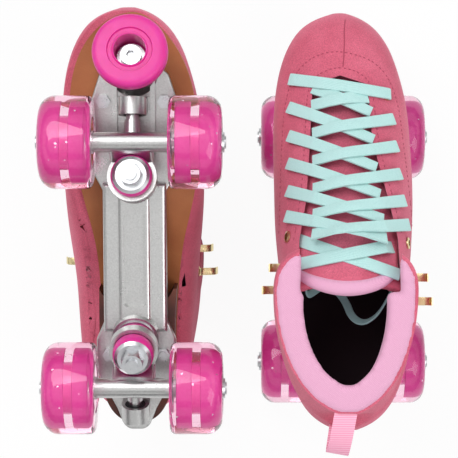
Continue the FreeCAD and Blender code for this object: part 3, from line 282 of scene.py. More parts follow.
# glitter flakes about 0.4 mm across, drawn at 0.9 mm so that they show
flakes = add_node(tree, "ShaderNodeTexVoronoi", {"Scale": 900.0}, {"Vector": place.outputs["Object"]})
flake_mask = add_node(tree, "ShaderNodeValToRGB", links={"Fac": flakes.outputs["Color"]})
flake_mask.color_ramp.elements[0].position = 0.93
flake_mask.color_ramp.elements[1].position = 0.95
glass = add_node(tree, "ShaderNodeBsdfPrincipled", {
    "Base Color": linear("#fdeaf4"), "Roughness": 0.03, "IOR": 1.49, "Transmission Weight": 1.0})
glitter = add_node(tree, "ShaderNodeBsdfPrincipled", {
    "Base Color": linear("#ffd9ec"), "Roughness": 0.25, "Metallic": 0.6})
mix = add_node(tree, "ShaderNodeMixShader", links={
    "Fac": flake_mask.outputs["Color"], 1: glass.outputs[0], 2: glitter.outputs[0]})
tree.links.new(mix.outputs[0], output.inputs["Surface"])
murk = add_node(tree, "ShaderNodeVolumeAbsorption", {"Color": linear("#ff86c4"), "Density": 9.0})
tree.links.new(murk.outputs[0], output.inputs["Volume"])

# moulded nylon: a satin skin with a faint grain
core_finish, tree, output = new_material("moulded_nylon_magenta")
place = add_node(tree, "ShaderNodeTexCoord")
grain = add_node(tree, "ShaderNodeTexNoise", {"Scale": 700.0, "Detail": 3.0},
                 {"Vector": place.outputs["Object"]})
shade = add_node(tree, "ShaderNodeMix", {"data_type": "RGBA", 6: linear("#f531a8"), 7: linear("#ff5cc0")},
                 {0: grain.outputs["Fac"]})
nylon = add_node(tree, "ShaderNodeBsdfPrincipled", {"Roughness": 0.38, "IOR": 1.53},
                 {"Base Color": shade.outputs[2]})
tree.links.new(nylon.outputs[0], output.inputs["Surface"])

# ground steel: bright, its roughness broken by a fine grain
steel, tree, output = new_material("ground_bearing_steel")
place = add_node(tree, "ShaderNodeTexCoord")
grain = add_node(tree, "ShaderNodeTexNoise", {"Scale": 1500.0, "Detail": 2.0},
                 {"Vector": place.outputs["Object"]})
rough = add_node(tree, "ShaderNodeMapRange", {"To Min": 0.18, "To Max": 0.36},
                 {"Value": grain.outputs["Fac"]})
metal = add_node(tree, "ShaderNodeBsdfPrincipled", {"Base Color": linear("#c9cbce"), "Metallic": 1.0},
                 {"Roughness": rough.outputs[0]})
tree.links.new(metal.outputs[0], output.inputs["Surface"])

# pressed shield: dark and half matt
shield_finish, tree, output = new_material("bearing_shield_black")
grain = add_node(tree, "ShaderNodeTexNoise", {"Scale": 900.0})
shade = add_node(tree, "ShaderNodeMix", {"data_type": "RGBA", 6: linear("#3a3238"), 7: linear("#544850")},
                 {0: grain.outputs["Fac"]})
dark = add_node(tree, "ShaderNodeBsdfPrincipled", {"Roughness": 0.45}, {"Base Color": shade.outputs[2]})
tree.links.new(dark.outputs[0], output.inputs["Surface"])

half_width = WHEEL_WIDTH / 2
tyre_r, core_r = WHEEL_DIA / 2, CORE_DIA / 2
ROUND_OUT, ROUND_IN, LIP, SUNK = 10.0, 3.5, 1.0, 0.4
STOP_RADIUS, RACE_RADIUS, INNER_RACE_RADIUS = 9.5, 9.3, 6.55
tyre_profile = [(-half_width, core_r - LIP)]
tyre_profile += rounded_corner((-half_width + ROUND_IN, tyre_r - ROUND_IN), ROUND_IN, 180, 90, 5)
tyre_profile += rounded_corner((half_width - ROUND_OUT, tyre_r - ROUND_OUT), ROUND_OUT, 90, 0, 10)
tyre_profile += [(half_width, core_r - LIP + 0.8), (half_width - 0.8, core_r - LIP),
                 (CORE_WIDTH / 2 + 0.1, core_r - LIP), (CORE_WIDTH / 2 - SUNK, core_r - SUNK),
                 (SUNK - CORE_WIDTH / 2, core_r - SUNK), (-CORE_WIDTH / 2 - 0.1, core_r - LIP)]
seat_r = BEARING_DIA / 2
core_half = CORE_WIDTH / 2
core_profile = [(-core_half, seat_r + 0.6), (-core_half, core_r - 0.6), (-core_half + 0.6, core_r),
                (-3.0, core_r), (-2.4, core_r - 0.5), (2.4, core_r - 0.5), (3.0, core_r),
                (core_half - 0.6, core_r), (core_half, core_r - 0.6), (core_half, seat_r + 0.6),
                (core_half - 0.6, seat_r), (core_half - BEARING_WIDTH, seat_r),
                (core_half - BEARING_WIDTH, STOP_RADIUS), (BEARING_WIDTH - core_half, STOP_RADIUS),
                (BEARING_WIDTH - core_half, seat_r), (0.6 - core_half, seat_r)]
race_profile = [(0.0, RACE_RADIUS), (0.0, seat_r - 0.4), (0.4, seat_r), (BEARING_WIDTH - 0.4, seat_r),
                (BEARING_WIDTH, seat_r - 0.4), (BEARING_WIDTH, RACE_RADIUS)]
shield_profile = [(0.35, INNER_RACE_RADIUS), (0.2, 7.4), (0.5, 8.0), (0.5, 9.0), (0.25, RACE_RADIUS),
                  (BEARING_WIDTH - 0.25, RACE_RADIUS), (BEARING_WIDTH - 0.5, 9.0), (BEARING_WIDTH - 0.5, 8.0),
                  (BEARING_WIDTH - 0.2, 7.4), (BEARING_WIDTH - 0.35, INNER_RACE_RADIUS)]


def flipped(profile, sign):
    """A profile turned end for end on its axis when sign is -1."""
    return [(sign * along, radius) for along, radius in profile]


for end in ("front", "rear"):
    for lane, sign in (("inner", -1), ("outer", 1)):
        stem = "%s_%s_" % (end, lane)
        hub_centre = hubs["right_%swheel" % stem]
        body = stem + "wheel"
        settle(spun(stem + "urethane_tyre", flipped(tyre_profile, sign), hub_centre), body,
               [stem + "tyre"], urethane)
        settle(spun(stem + "wheel_core", core_profile, hub_centre), body, [stem + "hub"],
               core_finish)
        for face, start in (("in", -core_half), ("out", core_half - BEARING_WIDTH)):
            seat = hub_centre + Vector((start * MM, 0, 0))
            settle(spun(stem + "bearing_race_" + face, race_profile, seat), body,
                   [stem + "hub"], steel)
            settle(spun(stem + "bearing_shield_" + face, shield_profile, seat), body,
                   [stem + "hub"], shield_finish)

# Metal chassis.
# The plate and hangers are aluminium castings, tumbled and polished; axles, kingpins,
# washers, nuts and bolts are zinc plated steel.
# tumbled casting: soft bright reflections over a pitted skin
aluminium, tree, output = new_material("polished_cast_aluminium")
place = add_node(tree, "ShaderNodeTexCoord")
clouds = add_node(tree, "ShaderNodeTexNoise", {"Scale": 60.0, "Detail": 4.0},
                  {"Vector": place.outputs["Object"]})
pits = add_node(tree, "ShaderNodeTexNoise", {"Scale": 900.0, "Detail": 3.0},
                {"Vector": place.outputs["Object"]})
rough = add_node(tree, "ShaderNodeMapRange", {"To Min": 0.2, "To Max": 0.42},
                 {"Value": clouds.outputs["Fac"]})
shade = add_node(tree, "ShaderNodeMix", {"data_type": "RGBA", 6: linear("#a9a9a8"), 7: linear("#cfcfce")},
                 {0: pits.outputs["Fac"]})
dents = add_node(tree, "ShaderNodeBump", {"Strength": 0.22, "Distance": 0.0003},
                 {"Height": pits.outputs["Fac"]})
metal = add_node(tree, "ShaderNodeBsdfPrincipled", {"Metallic": 1.0},
                 {"Base Color": shade.outputs[2], "Roughness": rough.outputs[0],
                  "Normal": dents.outputs[0]})
tree.links.new(metal.outputs[0], output.inputs["Surface"])

# zinc plate: a little greyer than the castings, with a faint spangle
zinc, tree, output = new_material("zinc_plated_steel")
place = add_node(tree, "ShaderNodeTexCoord")
spangle = add_node(tree, "ShaderNodeTexNoise", {"Scale": 350.0, "Detail": 3.0},
                   {"Vector": place.outputs["Object"]})
rough = add_node(tree, "ShaderNodeMapRange", {"To Min": 0.2, "To Max": 0.42},
                 {"Value": spangle.outputs["Fac"]})
shade = add_node(tree, "ShaderNodeMix", {"data_type": "RGBA", 6: linear("#b3b5b8"), 7: linear("#d6d7d9")},
                 {0: spangle.outputs["Fac"]})
metal = add_node(tree, "ShaderNodeBsdfPrincipled", {"Metallic": 1.0},
                 {"Base Color": shade.outputs[2], "Roughness": rough.outputs[0]})
tree.links.new(metal.outputs[0], output.inputs["Surface"])


def refinish(node, finish):
    """Give both skates' CAD node a finish."""
    for side in ("right_", "left_"):
        item = frame["nodes"][side + node]
        item.data.materials.clear()
        item.data.materials.append(finish)


for node in ("plate", "front_hanger", "rear_hanger"):
    refinish(node, aluminium)
for node in ("front_axle", "rear_axle", "kingpins", "mounting_bolts", "toe_stop_bolt"):
    refinish(node, zinc)

# Toe stop and cushions.
# Poured magenta urethane: the stop is a mushroom with a stepped face round its bolt
# hole, the cushions are squeezed barrels, and the pivot cups are black rubber.
# poured urethane: satin, and light soaks a little way in
rubber, tree, output = new_material("poured_urethane_magenta")
place = add_node(tree, "ShaderNodeTexCoord")
bloom = add_node(tree, "ShaderNodeTexNoise", {"Scale": 120.0, "Detail": 5.0},
                 {"Vector": place.outputs["Object"]})
shade = add_node(tree, "ShaderNodeMix", {"data_type": "RGBA", 6: linear("#cf1f86"), 7: linear("#e23a9f")},
                 {0: bloom.outputs["Fac"]})
dents = add_node(tree, "ShaderNodeBump", {"Strength": 0.1, "Distance": 0.0003},
                 {"Height": bloom.outputs["Fac"]})
soft = add_node(tree, "ShaderNodeBsdfPrincipled", {
    "Roughness": 0.42, "IOR": 1.5, "Subsurface Weight": 0.25, "Subsurface Scale": 0.004},
                {"Base Color": shade.outputs[2], "Normal": dents.outputs[0]})
tree.links.new(soft.outputs[0], output.inputs["Surface"])

# moulded rubber: matt black
black_rubber, tree, output = new_material("black_pivot_rubber")
grain = add_node(tree, "ShaderNodeTexNoise", {"Scale": 800.0})
shade = add_node(tree, "ShaderNodeMix", {"data_type": "RGBA", 6: linear("#1c1b1d"), 7: linear("#2b2a2d")},
                 {0: grain.outputs["Fac"]})
dark = add_node(tree, "ShaderNodeBsdfPrincipled", {"Roughness": 0.6}, {"Base Color": shade.outputs[2]})
tree.links.new(dark.outputs[0], output.inputs["Surface"])

STOP_TILT, STOP_ROOT_Y, PLATE_UNDER = math.radians(21), 121.0, 64.0
STOP_BOSS, STOP_LENGTH = 11.0, 31.0
stop_axis = Vector((0, math.sin(STOP_TILT), -math.cos(STOP_TILT)))
stop_top = local(0, STOP_ROOT_Y, PLATE_UNDER) + stop_axis * STOP_BOSS * MM
stop_profile = [(0.0, 5.0), (0.0, 15.0), (1.0, 15.4), (7.0, 14.0), (9.5, 13.6), (13.0, 14.6)]
stop_profile += [(17.5, 20.4), (19.5, 22.4), (22.0, 23.4), (26.5, 23.4)]
stop_profile += rounded_corner((27.0, 19.5), 3.9, 85, 10, 5)
stop_profile += [(31.0, 18.2), (31.0, 14.2), (29.4, 13.6), (29.4, 11.2), (30.6, 10.6), (30.4, 10.0),
                 (11.5, 10.0), (11.0, 9.6), (11.0, 4.1)]
settle(spun("urethane_toe_stop", stop_profile, stop_top, stop_axis), "boot", ["toe_stop"],
       rubber)
TRUCK_LEAN = math.radians(13.7)
RING_INBOARD, RING_HEIGHT = 23.0, 38.0
cushion_profile = [(1.8, 4.4), (1.8, 11.7), (2.8, 12.4), (5.0, 12.9), (7.15, 13.1), (9.4, 12.9),
                   (11.6, 12.4), (12.5, 11.7), (12.5, 4.4)]
for end, way in (("front", 1), ("rear", -1)):
    ring_centre = local(0, way * (wheelbase / MM / 2 - RING_INBOARD), RING_HEIGHT)
    up = Vector((0, -way * math.sin(TRUCK_LEAN), math.cos(TRUCK_LEAN)))
    along = Vector((0, way * math.cos(TRUCK_LEAN), math.sin(TRUCK_LEAN)))
    for level, direction in (("upper", up), ("lower", -up)):
        piece = spun("%s_%s_cushion_barrel" % (end, level), cushion_profile, ring_centre, direction, 64)
        settle(piece, "boot", [end + "_cushions"], rubber)
    cup_profile = [(39.0, 4.1), (39.0, 6.6), (39.6, 6.9), (40.4, 6.9), (40.4, 6.0), (48.0, 6.0), (48.0, 4.1)]
    piece = spun(end + "_pivot_cup_rubber", cup_profile, ring_centre, along, 48)
    settle(piece, "boot", [end + "_cushions"], black_rubber)

# Suede upper.
# Split leather dyed pink, brushed to a nap: darker where the nap lies down, paler where
# it stands up, with a fibre that breaks the light.
suede, tree, output = new_material("brushed_suede_pink")
place = add_node(tree, "ShaderNodeTexCoord")
patches = add_node(tree, "ShaderNodeTexNoise", {"Scale": 32.0, "Detail": 5.0, "Roughness": 0.62},
                   {"Vector": place.outputs["Object"]})
fibre = add_node(tree, "ShaderNodeTexNoise", {"Scale": 1300.0, "Detail": 4.0, "Roughness": 0.7},
                 {"Vector": place.outputs["Object"]})
nap = add_node(tree, "ShaderNodeMix", {"data_type": "RGBA", 6: linear("#b5455d"), 7: linear("#e87d95")},
               {0: patches.outputs["Fac"]})
speck_tone = add_node(tree, "ShaderNodeValToRGB", links={"Fac": fibre.outputs["Fac"]})
speck_tone.color_ramp.elements[0].position = 0.32
speck_tone.color_ramp.elements[0].color = (0.72, 0.72, 0.72, 1)
speck_tone.color_ramp.elements[1].position = 0.68
speck_tone.color_ramp.elements[1].color = (1.18, 1.18, 1.18, 1)
toned = add_node(tree, "ShaderNodeMix", {"data_type": "RGBA", "blend_type": "MULTIPLY", 0: 1.0},
                 {6: nap.outputs[2], 7: speck_tone.outputs["Color"]})
dents = add_node(tree, "ShaderNodeBump", {"Strength": 0.5, "Distance": 0.0003},
                 {"Height": fibre.outputs["Fac"]})
hide = add_node(tree, "ShaderNodeBsdfPrincipled", {
    "Roughness": 0.92, "Specular IOR Level": 0.2, "Sheen Weight": 0.35, "Sheen Roughness": 0.4,
    "Sheen Tint": linear("#ffc6d4")}, {"Base Color": toned.outputs[2], "Normal": dents.outputs[0]})
tree.links.new(hide.outputs[0], output.inputs["Surface"])


def only(item):
    """Select one object and make it active."""
    bpy.ops.object.select_all(action="DESELECT")
    item.select_set(True)
    bpy.context.view_layer.objects.active = item
    return item


def copy_of(node, name):
    """A new piece from a CAD node of the right skate, its loose triangles merged."""
    piece = frame["nodes"]["right_" + node].copy()
    piece.data = piece.data.copy()
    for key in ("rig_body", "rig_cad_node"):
        if key in piece:
            del piece[key]
    piece.parent = None
    bpy.context.collection.objects.link(piece)
    piece.name = name
    piece.hide_render = False
    piece.hide_viewport = False
    piece.hide_set(False)
    only(piece)
    bpy.ops.object.mode_set(mode="EDIT")
    bpy.ops.mesh.select_all(action="SELECT")
    bpy.ops.mesh.remove_doubles(threshold=0.00001)
    bpy.ops.mesh.normals_make_consistent(inside=False)
    bpy.ops.object.mode_set(mode="OBJECT")
    if piece.data.attributes.get("custom_normal"):
        piece.data.attributes.remove(piece.data.attributes["custom_normal"])
    return piece


upper = copy_of("upper", "suede_upper")
bpy.ops.object.shade_smooth_by_angle(angle=math.radians(40))
settle(upper, "boot", ["upper"], suede)

# Stitching.
# Two rows of short thread stitches run down the facings, one round the vamp, and a
# sunk seam joins the two halves of the toe.
THROAT = [(-23, 108, 13), (-25, 70, 15), (-28, 32, 24), (-32.5, 8, 29)]
VAMP_ROW = [(-45, 12), (-44, 40), (-43, 69), (-41, 96), (-36, 113), (-26, 125), (-14, 129.5), (-3, 130),
            (12, 126), (19, 122), (27, 114), (33.5, 96), (36, 70), (39, 40), (41, 14)]
STITCH_OFF, STITCH_PITCH, STITCH_LONG, STITCH_RADIUS = 3.3, 3.1, 2.0, 0.36
facing_row = [(left - STITCH_OFF, y) for left, y, right in reversed(THROAT)]
facing_row += [(-18, 116), (-5, 120), (8, 116)]
facing_row += [(right + STITCH_OFF, y) for left, y, right in THROAT]
bare_upper = frame["nodes"]["right_upper"].data
upper_tree = BVHTree.FromPolygons([vertex.co for vertex in bare_upper.vertices],
                                  [face.vertices for face in bare_upper.polygons])


def on_skin(x, y):
    """The point of the upper under (x, y) in mm, and its normal, or None over the throat."""
    spot, normal = upper_tree.ray_cast(local(x, y, 300), Vector((0, 0, -1)))[:2]
    if spot is None or spot.z < 0.1:
        return None
    return spot, normal


def smooth_row(corners, pitch):
    """Points every pitch mm along a smooth curve through the corners."""
    route = bpy.data.curves.new("row", "CURVE")
    line = route.splines.new("NURBS")
    line.points.add(len(corners) - 1)
    for point, (x, y) in zip(line.points, corners):
        point.co = (x, y, 0, 1)
    line.order_u = 3
    line.use_endpoint_u = True
    route.resolution_u = 20
    holder = bpy.data.objects.new("row", route)
    bpy.context.collection.objects.link(holder)
    trace = bpy.data.meshes.new_from_object(holder)
    points = [vertex.co.copy() for vertex in trace.vertices]
    bpy.data.objects.remove(holder)
    bpy.data.meshes.remove(trace)
    spots, run = [points[0]], 0.0
    for before, after in zip(points, points[1:]):
        run += (after - before).length
        if run >= pitch:
            spots.append(after)
            run -= pitch
    return spots


# waxed thread: darker than the suede, with a slight gloss
thread, tree, output = new_material("waxed_polyester_thread")
place = add_node(tree, "ShaderNodeTexCoord")
twist = add_node(tree, "ShaderNodeTexNoise", {"Scale": 2000.0}, {"Vector": place.outputs["Object"]})
shade = add_node(tree, "ShaderNodeMix", {"data_type": "RGBA", 6: linear("#93304a"), 7: linear("#b24660")},
                 {0: twist.outputs["Fac"]})
cord_look = add_node(tree, "ShaderNodeBsdfPrincipled", {"Roughness": 0.6}, {"Base Color": shade.outputs[2]})
tree.links.new(cord_look.outputs[0], output.inputs["Surface"])

bpy.ops.mesh.primitive_uv_sphere_add(segments=8, ring_count=6, radius=1)
stitch = bpy.context.object
stitch.name = "one_stitch"
master = stitch.data.copy()
shape = bmesh.new()
for corners in (facing_row, VAMP_ROW):
    spots = smooth_row(corners, STITCH_PITCH)
    for before, after in zip(spots, spots[1:]):
        seat = on_skin(before.x, before.y)
        ahead = on_skin(after.x, after.y)
        if seat is None or ahead is None:
            continue
        along = (ahead[0] - seat[0]).normalized()
        across = seat[1].cross(along).normalized()
        turn = Matrix((along, across, seat[1])).transposed().to_4x4()
        spread = Matrix.Diagonal((STITCH_LONG / 2 * MM, STITCH_RADIUS * MM, STITCH_RADIUS * MM, 1))
        start = len(shape.verts)
        shape.from_mesh(master)
        shape.verts.ensure_lookup_table()
        for vertex in shape.verts[start:]:
            vertex.co = Matrix.Translation(seat[0]) @ turn @ spread @ vertex.co
bmesh.ops.recalc_face_normals(shape, faces=shape.faces)
shape.to_mesh(stitch.data)
shape.free()
stitch.name = "facing_stitches"
bpy.ops.object.shade_smooth()
settle(stitch, "boot", [], thread)

TOE_SEAM = [(-1, 152), (-2, 144), (-2, 132), (-3, 119)]
bpy.ops.curve.primitive_nurbs_path_add()
seam = bpy.context.object
seam.location = (0, 0, 0)
seam.name = "toe_seam"
seam.data.splines.clear()
line = seam.data.splines.new("NURBS")
seam_spots = [on_skin(spot.x, spot.y) for spot in smooth_row(TOE_SEAM, 2.0)]
seam_spots = [spot for spot in seam_spots if spot]
line.points.add(len(seam_spots) - 1)
for point, (spot, normal) in zip(line.points, seam_spots):
    point.co = (*(spot - normal * 0.1 * MM), 1)
line.order_u = 3
line.use_endpoint_u = True
seam.data.bevel_depth = 0.4 * MM
seam.data.use_fill_caps = True
bpy.ops.object.convert(target="MESH")
settle(seam, "boot", [], thread)

# Sole and heel.
# A waxed brown leather outsole on a darker heel of stacked leather lifts.
# waxed leather: mottled brown with open pores
sole_finish, tree, output = new_material("waxed_sole_leather")
place = add_node(tree, "ShaderNodeTexCoord")
mottle = add_node(tree, "ShaderNodeTexNoise", {"Scale": 45.0, "Detail": 6.0},
                  {"Vector": place.outputs["Object"]})
pores = add_node(tree, "ShaderNodeTexVoronoi", {"Scale": 900.0}, {"Vector": place.outputs["Object"]})
shade = add_node(tree, "ShaderNodeMix", {"data_type": "RGBA", 6: linear("#8e4a22"), 7: linear("#b4713f")},
                 {0: mottle.outputs["Fac"]})
dents = add_node(tree, "ShaderNodeBump", {"Strength": 0.35, "Distance": 0.0003},
                 {"Height": pores.outputs["Distance"]})
hide = add_node(tree, "ShaderNodeBsdfPrincipled", {"Roughness": 0.55},
                {"Base Color": shade.outputs[2], "Normal": dents.outputs[0]})
tree.links.new(hide.outputs[0], output.inputs["Surface"])
# stacked lifts: dark edges seen as level stripes
heel_finish, tree, output = new_material("stacked_heel_leather")
place = add_node(tree, "ShaderNodeTexCoord")
lifts = add_node(tree, "ShaderNodeTexWave", {"bands_direction": "Z", "Scale": 55.0, "Distortion": 1.2},
                 {"Vector": place.outputs["Object"]})
shade = add_node(tree, "ShaderNodeMix", {"data_type": "RGBA", 6: linear("#43180d"), 7: linear("#642e1c")},
                 {0: lifts.outputs["Fac"]})
hide = add_node(tree, "ShaderNodeBsdfPrincipled", {"Roughness": 0.5}, {"Base Color": shade.outputs[2]})
tree.links.new(hide.outputs[0], output.inputs["Surface"])
refinish("outsole", sole_finish)
refinish("heel", heel_finish)

# Lasting margin.
# The upper is drawn in under the last and glued to the sole: suede shows as a narrow
# flat margin wherever the sole is narrower than the boot.
MARGIN_REACH, MARGIN_THICK, UNDERSIDE = 4.3, 1.5, -0.75
margin = copy_of("footbed", "lasting_margin")
shape = bmesh.new()
shape.from_mesh(margin.data)
upward_faces = [face for face in shape.faces if face.normal.z > UNDERSIDE]
bmesh.ops.delete(shape, geom=upward_faces, context="FACES")
rim_edges = [line for line in shape.edges if line.is_boundary]
pushes = {}
for line in rim_edges:
    run = line.verts[1].co - line.verts[0].co
    out = Vector((run.y, -run.x, 0))
    middle = (line.verts[0].co + line.verts[1].co) / 2
    if out.dot(middle - line.link_faces[0].calc_center_median()) < 0:
        out = -out
    for vertex in line.verts:
        pushes[vertex] = pushes.get(vertex, Vector()) + out
grown = bmesh.ops.extrude_edge_only(shape, edges=rim_edges)
places = {tuple(vertex.co): push for vertex, push in pushes.items()}
for vertex in (item for item in grown["geom"] if isinstance(item, bmesh.types.BMVert)):
    push = places.get(tuple(vertex.co))
    if push is not None and push.length > 0:
        vertex.co += push.normalized() * MARGIN_REACH * MM
bmesh.ops.recalc_face_normals(shape, faces=shape.faces)
shape.to_mesh(margin.data)
shape.free()
wall = margin.modifiers.new("skin", "SOLIDIFY")
wall.thickness = MARGIN_THICK * MM
wall.offset = 0.0


def apply_all(piece):
    """Apply every modifier of a piece, in order."""
    only(piece)
    for modifier in list(piece.modifiers):
        bpy.ops.object.modifier_apply(modifier=modifier.name)
    return piece


apply_all(margin)
settle(margin, "boot", [], suede)

# Lining and padded collar.
# Pink brushed knit over foam, rolled over the cuff's rim; lower down inside the cuff the lining is coloured
# near black as painted shade.
# brushed knit: broken diagonal wales under a soft fuzz
knit, tree, output = new_material("brushed_knit_lining")
place = add_node(tree, "ShaderNodeTexCoord")
wales = add_node(tree, "ShaderNodeTexWave", {"bands_direction": "DIAGONAL", "Scale": 430.0,
                                             "Distortion": 5.0, "Detail": 2.0},
                 {"Vector": place.outputs["Object"]})
fuzz = add_node(tree, "ShaderNodeTexNoise", {"Scale": 900.0, "Detail": 4.0},
                {"Vector": place.outputs["Object"]})
tone = add_node(tree, "ShaderNodeMath", {"operation": "MULTIPLY"},
                {0: wales.outputs["Fac"], 1: fuzz.outputs["Fac"]})
shade = add_node(tree, "ShaderNodeMix", {"data_type": "RGBA", 6: linear("#dca0c0"), 7: linear("#eebcd5")},
                 {0: tone.outputs[0]})
dents = add_node(tree, "ShaderNodeBump", {"Strength": 0.45, "Distance": 0.0004},
                 {"Height": tone.outputs[0]})
cloth = add_node(tree, "ShaderNodeBsdfPrincipled", {
    "Roughness": 0.9, "Specular IOR Level": 0.2, "Sheen Weight": 0.4, "Sheen Tint": linear("#ffe3f0")},
                 {"Base Color": shade.outputs[2], "Normal": dents.outputs[0]})
tree.links.new(cloth.outputs[0], output.inputs["Surface"])
PAD_FOOT, PAD_VOXEL, PAD_PASSES = 146.0, 1.5, 8
RIM_SWELL, RIM_DEPTH, RIM_FADE = 1.4, 16.0, 10.0
CUFF_FRONT, CUFF_BACK = (4.0, 209.0), (-100.0, 192.0)
rim_slope = (CUFF_FRONT[1] - CUFF_BACK[1]) / (CUFF_FRONT[0] - CUFF_BACK[0])
# below the pad the lining gets a near-black matt finish, painted shade of the boot's deep inside
painted_shade_cloth, tree, output = new_material("inner_lining_painted_shade")
place = add_node(tree, "ShaderNodeTexCoord")
fuzz = add_node(tree, "ShaderNodeTexNoise", {"Scale": 500.0}, {"Vector": place.outputs["Object"]})
shade = add_node(tree, "ShaderNodeMix", {"data_type": "RGBA", 6: linear("#2a161e"), 7: linear("#40222e")},
                 {0: fuzz.outputs["Fac"]})
cloth = add_node(tree, "ShaderNodeBsdfPrincipled", {"Roughness": 0.95}, {"Base Color": shade.outputs[2]})
tree.links.new(cloth.outputs[0], output.inputs["Surface"])


def even_out(piece, voxel, passes):
    """Remesh a copy of a CAD solid evenly and soften its edges."""
    remesh = piece.modifiers.new("even", "REMESH")
    remesh.mode = "VOXEL"
    remesh.voxel_size = voxel * MM
    smooth = piece.modifiers.new("soft", "SMOOTH")
    smooth.iterations = passes
    apply_all(piece)
    bpy.ops.object.shade_smooth()


pad = copy_of("collar_lining", "padded_collar")
even_out(pad, PAD_VOXEL, PAD_PASSES)
rim = pad.vertex_groups.new(name="rim")
for vertex in pad.data.vertices:
    at = vertex.co - right_origin
    below = (CUFF_BACK[1] + rim_slope * (at.y / MM - CUFF_BACK[0])) - at.z / MM
    rim.add([vertex.index], max(0.0, min(1.0, (RIM_DEPTH - below) / RIM_FADE)), "REPLACE")
swell = pad.modifiers.new("swell", "DISPLACE")
swell.strength = RIM_SWELL * MM
swell.mid_level = 0.0
swell.vertex_group = "rim"
apply_all(pad)
pad.data.materials.clear()
pad.data.materials.append(knit)
pad.data.materials.append(painted_shade_cloth)
# faces below the pad's foot, deep in the cuff, take the near-black painted shade
for face in pad.data.polygons:
    at = (face.center - right_origin) / MM
    face.material_index = 1 if at.z < PAD_FOOT + rim_slope * (at.y - CUFF_BACK[0]) else 0
# the turned-over skate rests on its padded rim, which flattens on the floor
REST_LIFT = 0.3 * MM
for piece in settle(pad, "boot", ["collar_lining"]):
    for vertex in piece.data.vertices:
        vertex.co.z = max(vertex.co.z, REST_LIFT)

# Tongue.
# Suede over thin foam, with a rolled knit edge at the top.
TONGUE_TOE, TUCK = 106.0, Vector((0, 9, -3))
TONGUE_VOXEL, TONGUE_PASSES, ROLL_RADIUS = 1.4, 6, 5.0
tongue = copy_of("tongue", "suede_tongue")
for vertex in tongue.data.vertices:
    if (vertex.co - right_origin).y > TONGUE_TOE * MM:
        vertex.co += TUCK * MM
even_out(tongue, TONGUE_VOXEL, TONGUE_PASSES)
settle(tongue, "boot", ["tongue"], suede)
TONGUE_EDGE = [(-35, -12, 183), (-29, -17, 191), (-18, -21, 196.5), (-3, -23, 198.5),
               (12, -21, 196.5), (22, -17, 191), (27, -12, 184)]
bpy.ops.object.select_all(action="DESELECT")
bpy.ops.curve.primitive_nurbs_path_add()
edge = bpy.context.object
edge.name = "tongue_edge_roll"
edge.data.splines.clear()
line = edge.data.splines.new("NURBS")
line.points.add(len(TONGUE_EDGE) - 1)
for number, (point, spot) in enumerate(zip(line.points, TONGUE_EDGE)):
    point.co = (*local(*spot), 1)
    point.radius = 0.45 + 0.55 * math.sin(math.pi * number / (len(TONGUE_EDGE) - 1))
line.order_u = 4
line.use_endpoint_u = True
edge.data.bevel_depth = ROLL_RADIUS * MM
edge.data.bevel_resolution = 6
edge.data.resolution_u = 12
edge.data.use_fill_caps = True
bpy.ops.object.convert(target="MESH")
bpy.ops.object.shade_smooth()
for piece in settle(edge, "boot", ["tongue"], knit):
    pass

# Lace.
# One flat woven mint lace per skate, 8 mm wide, threaded over and under.
# flat weave: small raised cells, matt
weave, tree, output = new_material("flat_woven_lace_mint")
place = add_node(tree, "ShaderNodeTexCoord")
ribs = add_node(tree, "ShaderNodeTexVoronoi", {"Scale": 1300.0, "Randomness": 0.35},
                {"Vector": place.outputs["Object"]})
shade = add_node(tree, "ShaderNodeMix", {"data_type": "RGBA", 6: linear("#c6e8e5"), 7: linear("#9ccbc9")},
                 {0: ribs.outputs["Distance"]})
dents = add_node(tree, "ShaderNodeBump", {"Strength": 0.4, "Distance": 0.0002},
                 {"Height": ribs.outputs["Distance"]})
cloth = add_node(tree, "ShaderNodeBsdfPrincipled", {"Roughness": 0.85, "Specular IOR Level": 0.25,
                                                    "Sheen Weight": 0.2},
                 {"Base Color": shade.outputs[2], "Normal": dents.outputs[0]})
tree.links.new(cloth.outputs[0], output.inputs["Surface"])


def eyelet_seats():
    """Where each right-hand eyelet sits: its centre and the skin's normal there."""
    shape = bmesh.new()
    shape.from_mesh(frame["nodes"]["right_eyelets"].data)
    bmesh.ops.remove_doubles(shape, verts=shape.verts, dist=0.00001)
    left = set(shape.verts)
    seats = []
    while left:
        island, edge_of = [], [left.pop()]
        while edge_of:
            vertex = edge_of.pop()
            island.append(vertex.co.copy())
            for near in (link.other_vert(vertex) for link in vertex.link_edges):
                if near in left:
                    left.remove(near)
                    edge_of.append(near)
        centre = sum(island, Vector()) / len(island)
        seats.append((centre, upper_tree.find_nearest(centre + Vector((0, 0, 0.004)))[1]))
    shape.free()
    return seats


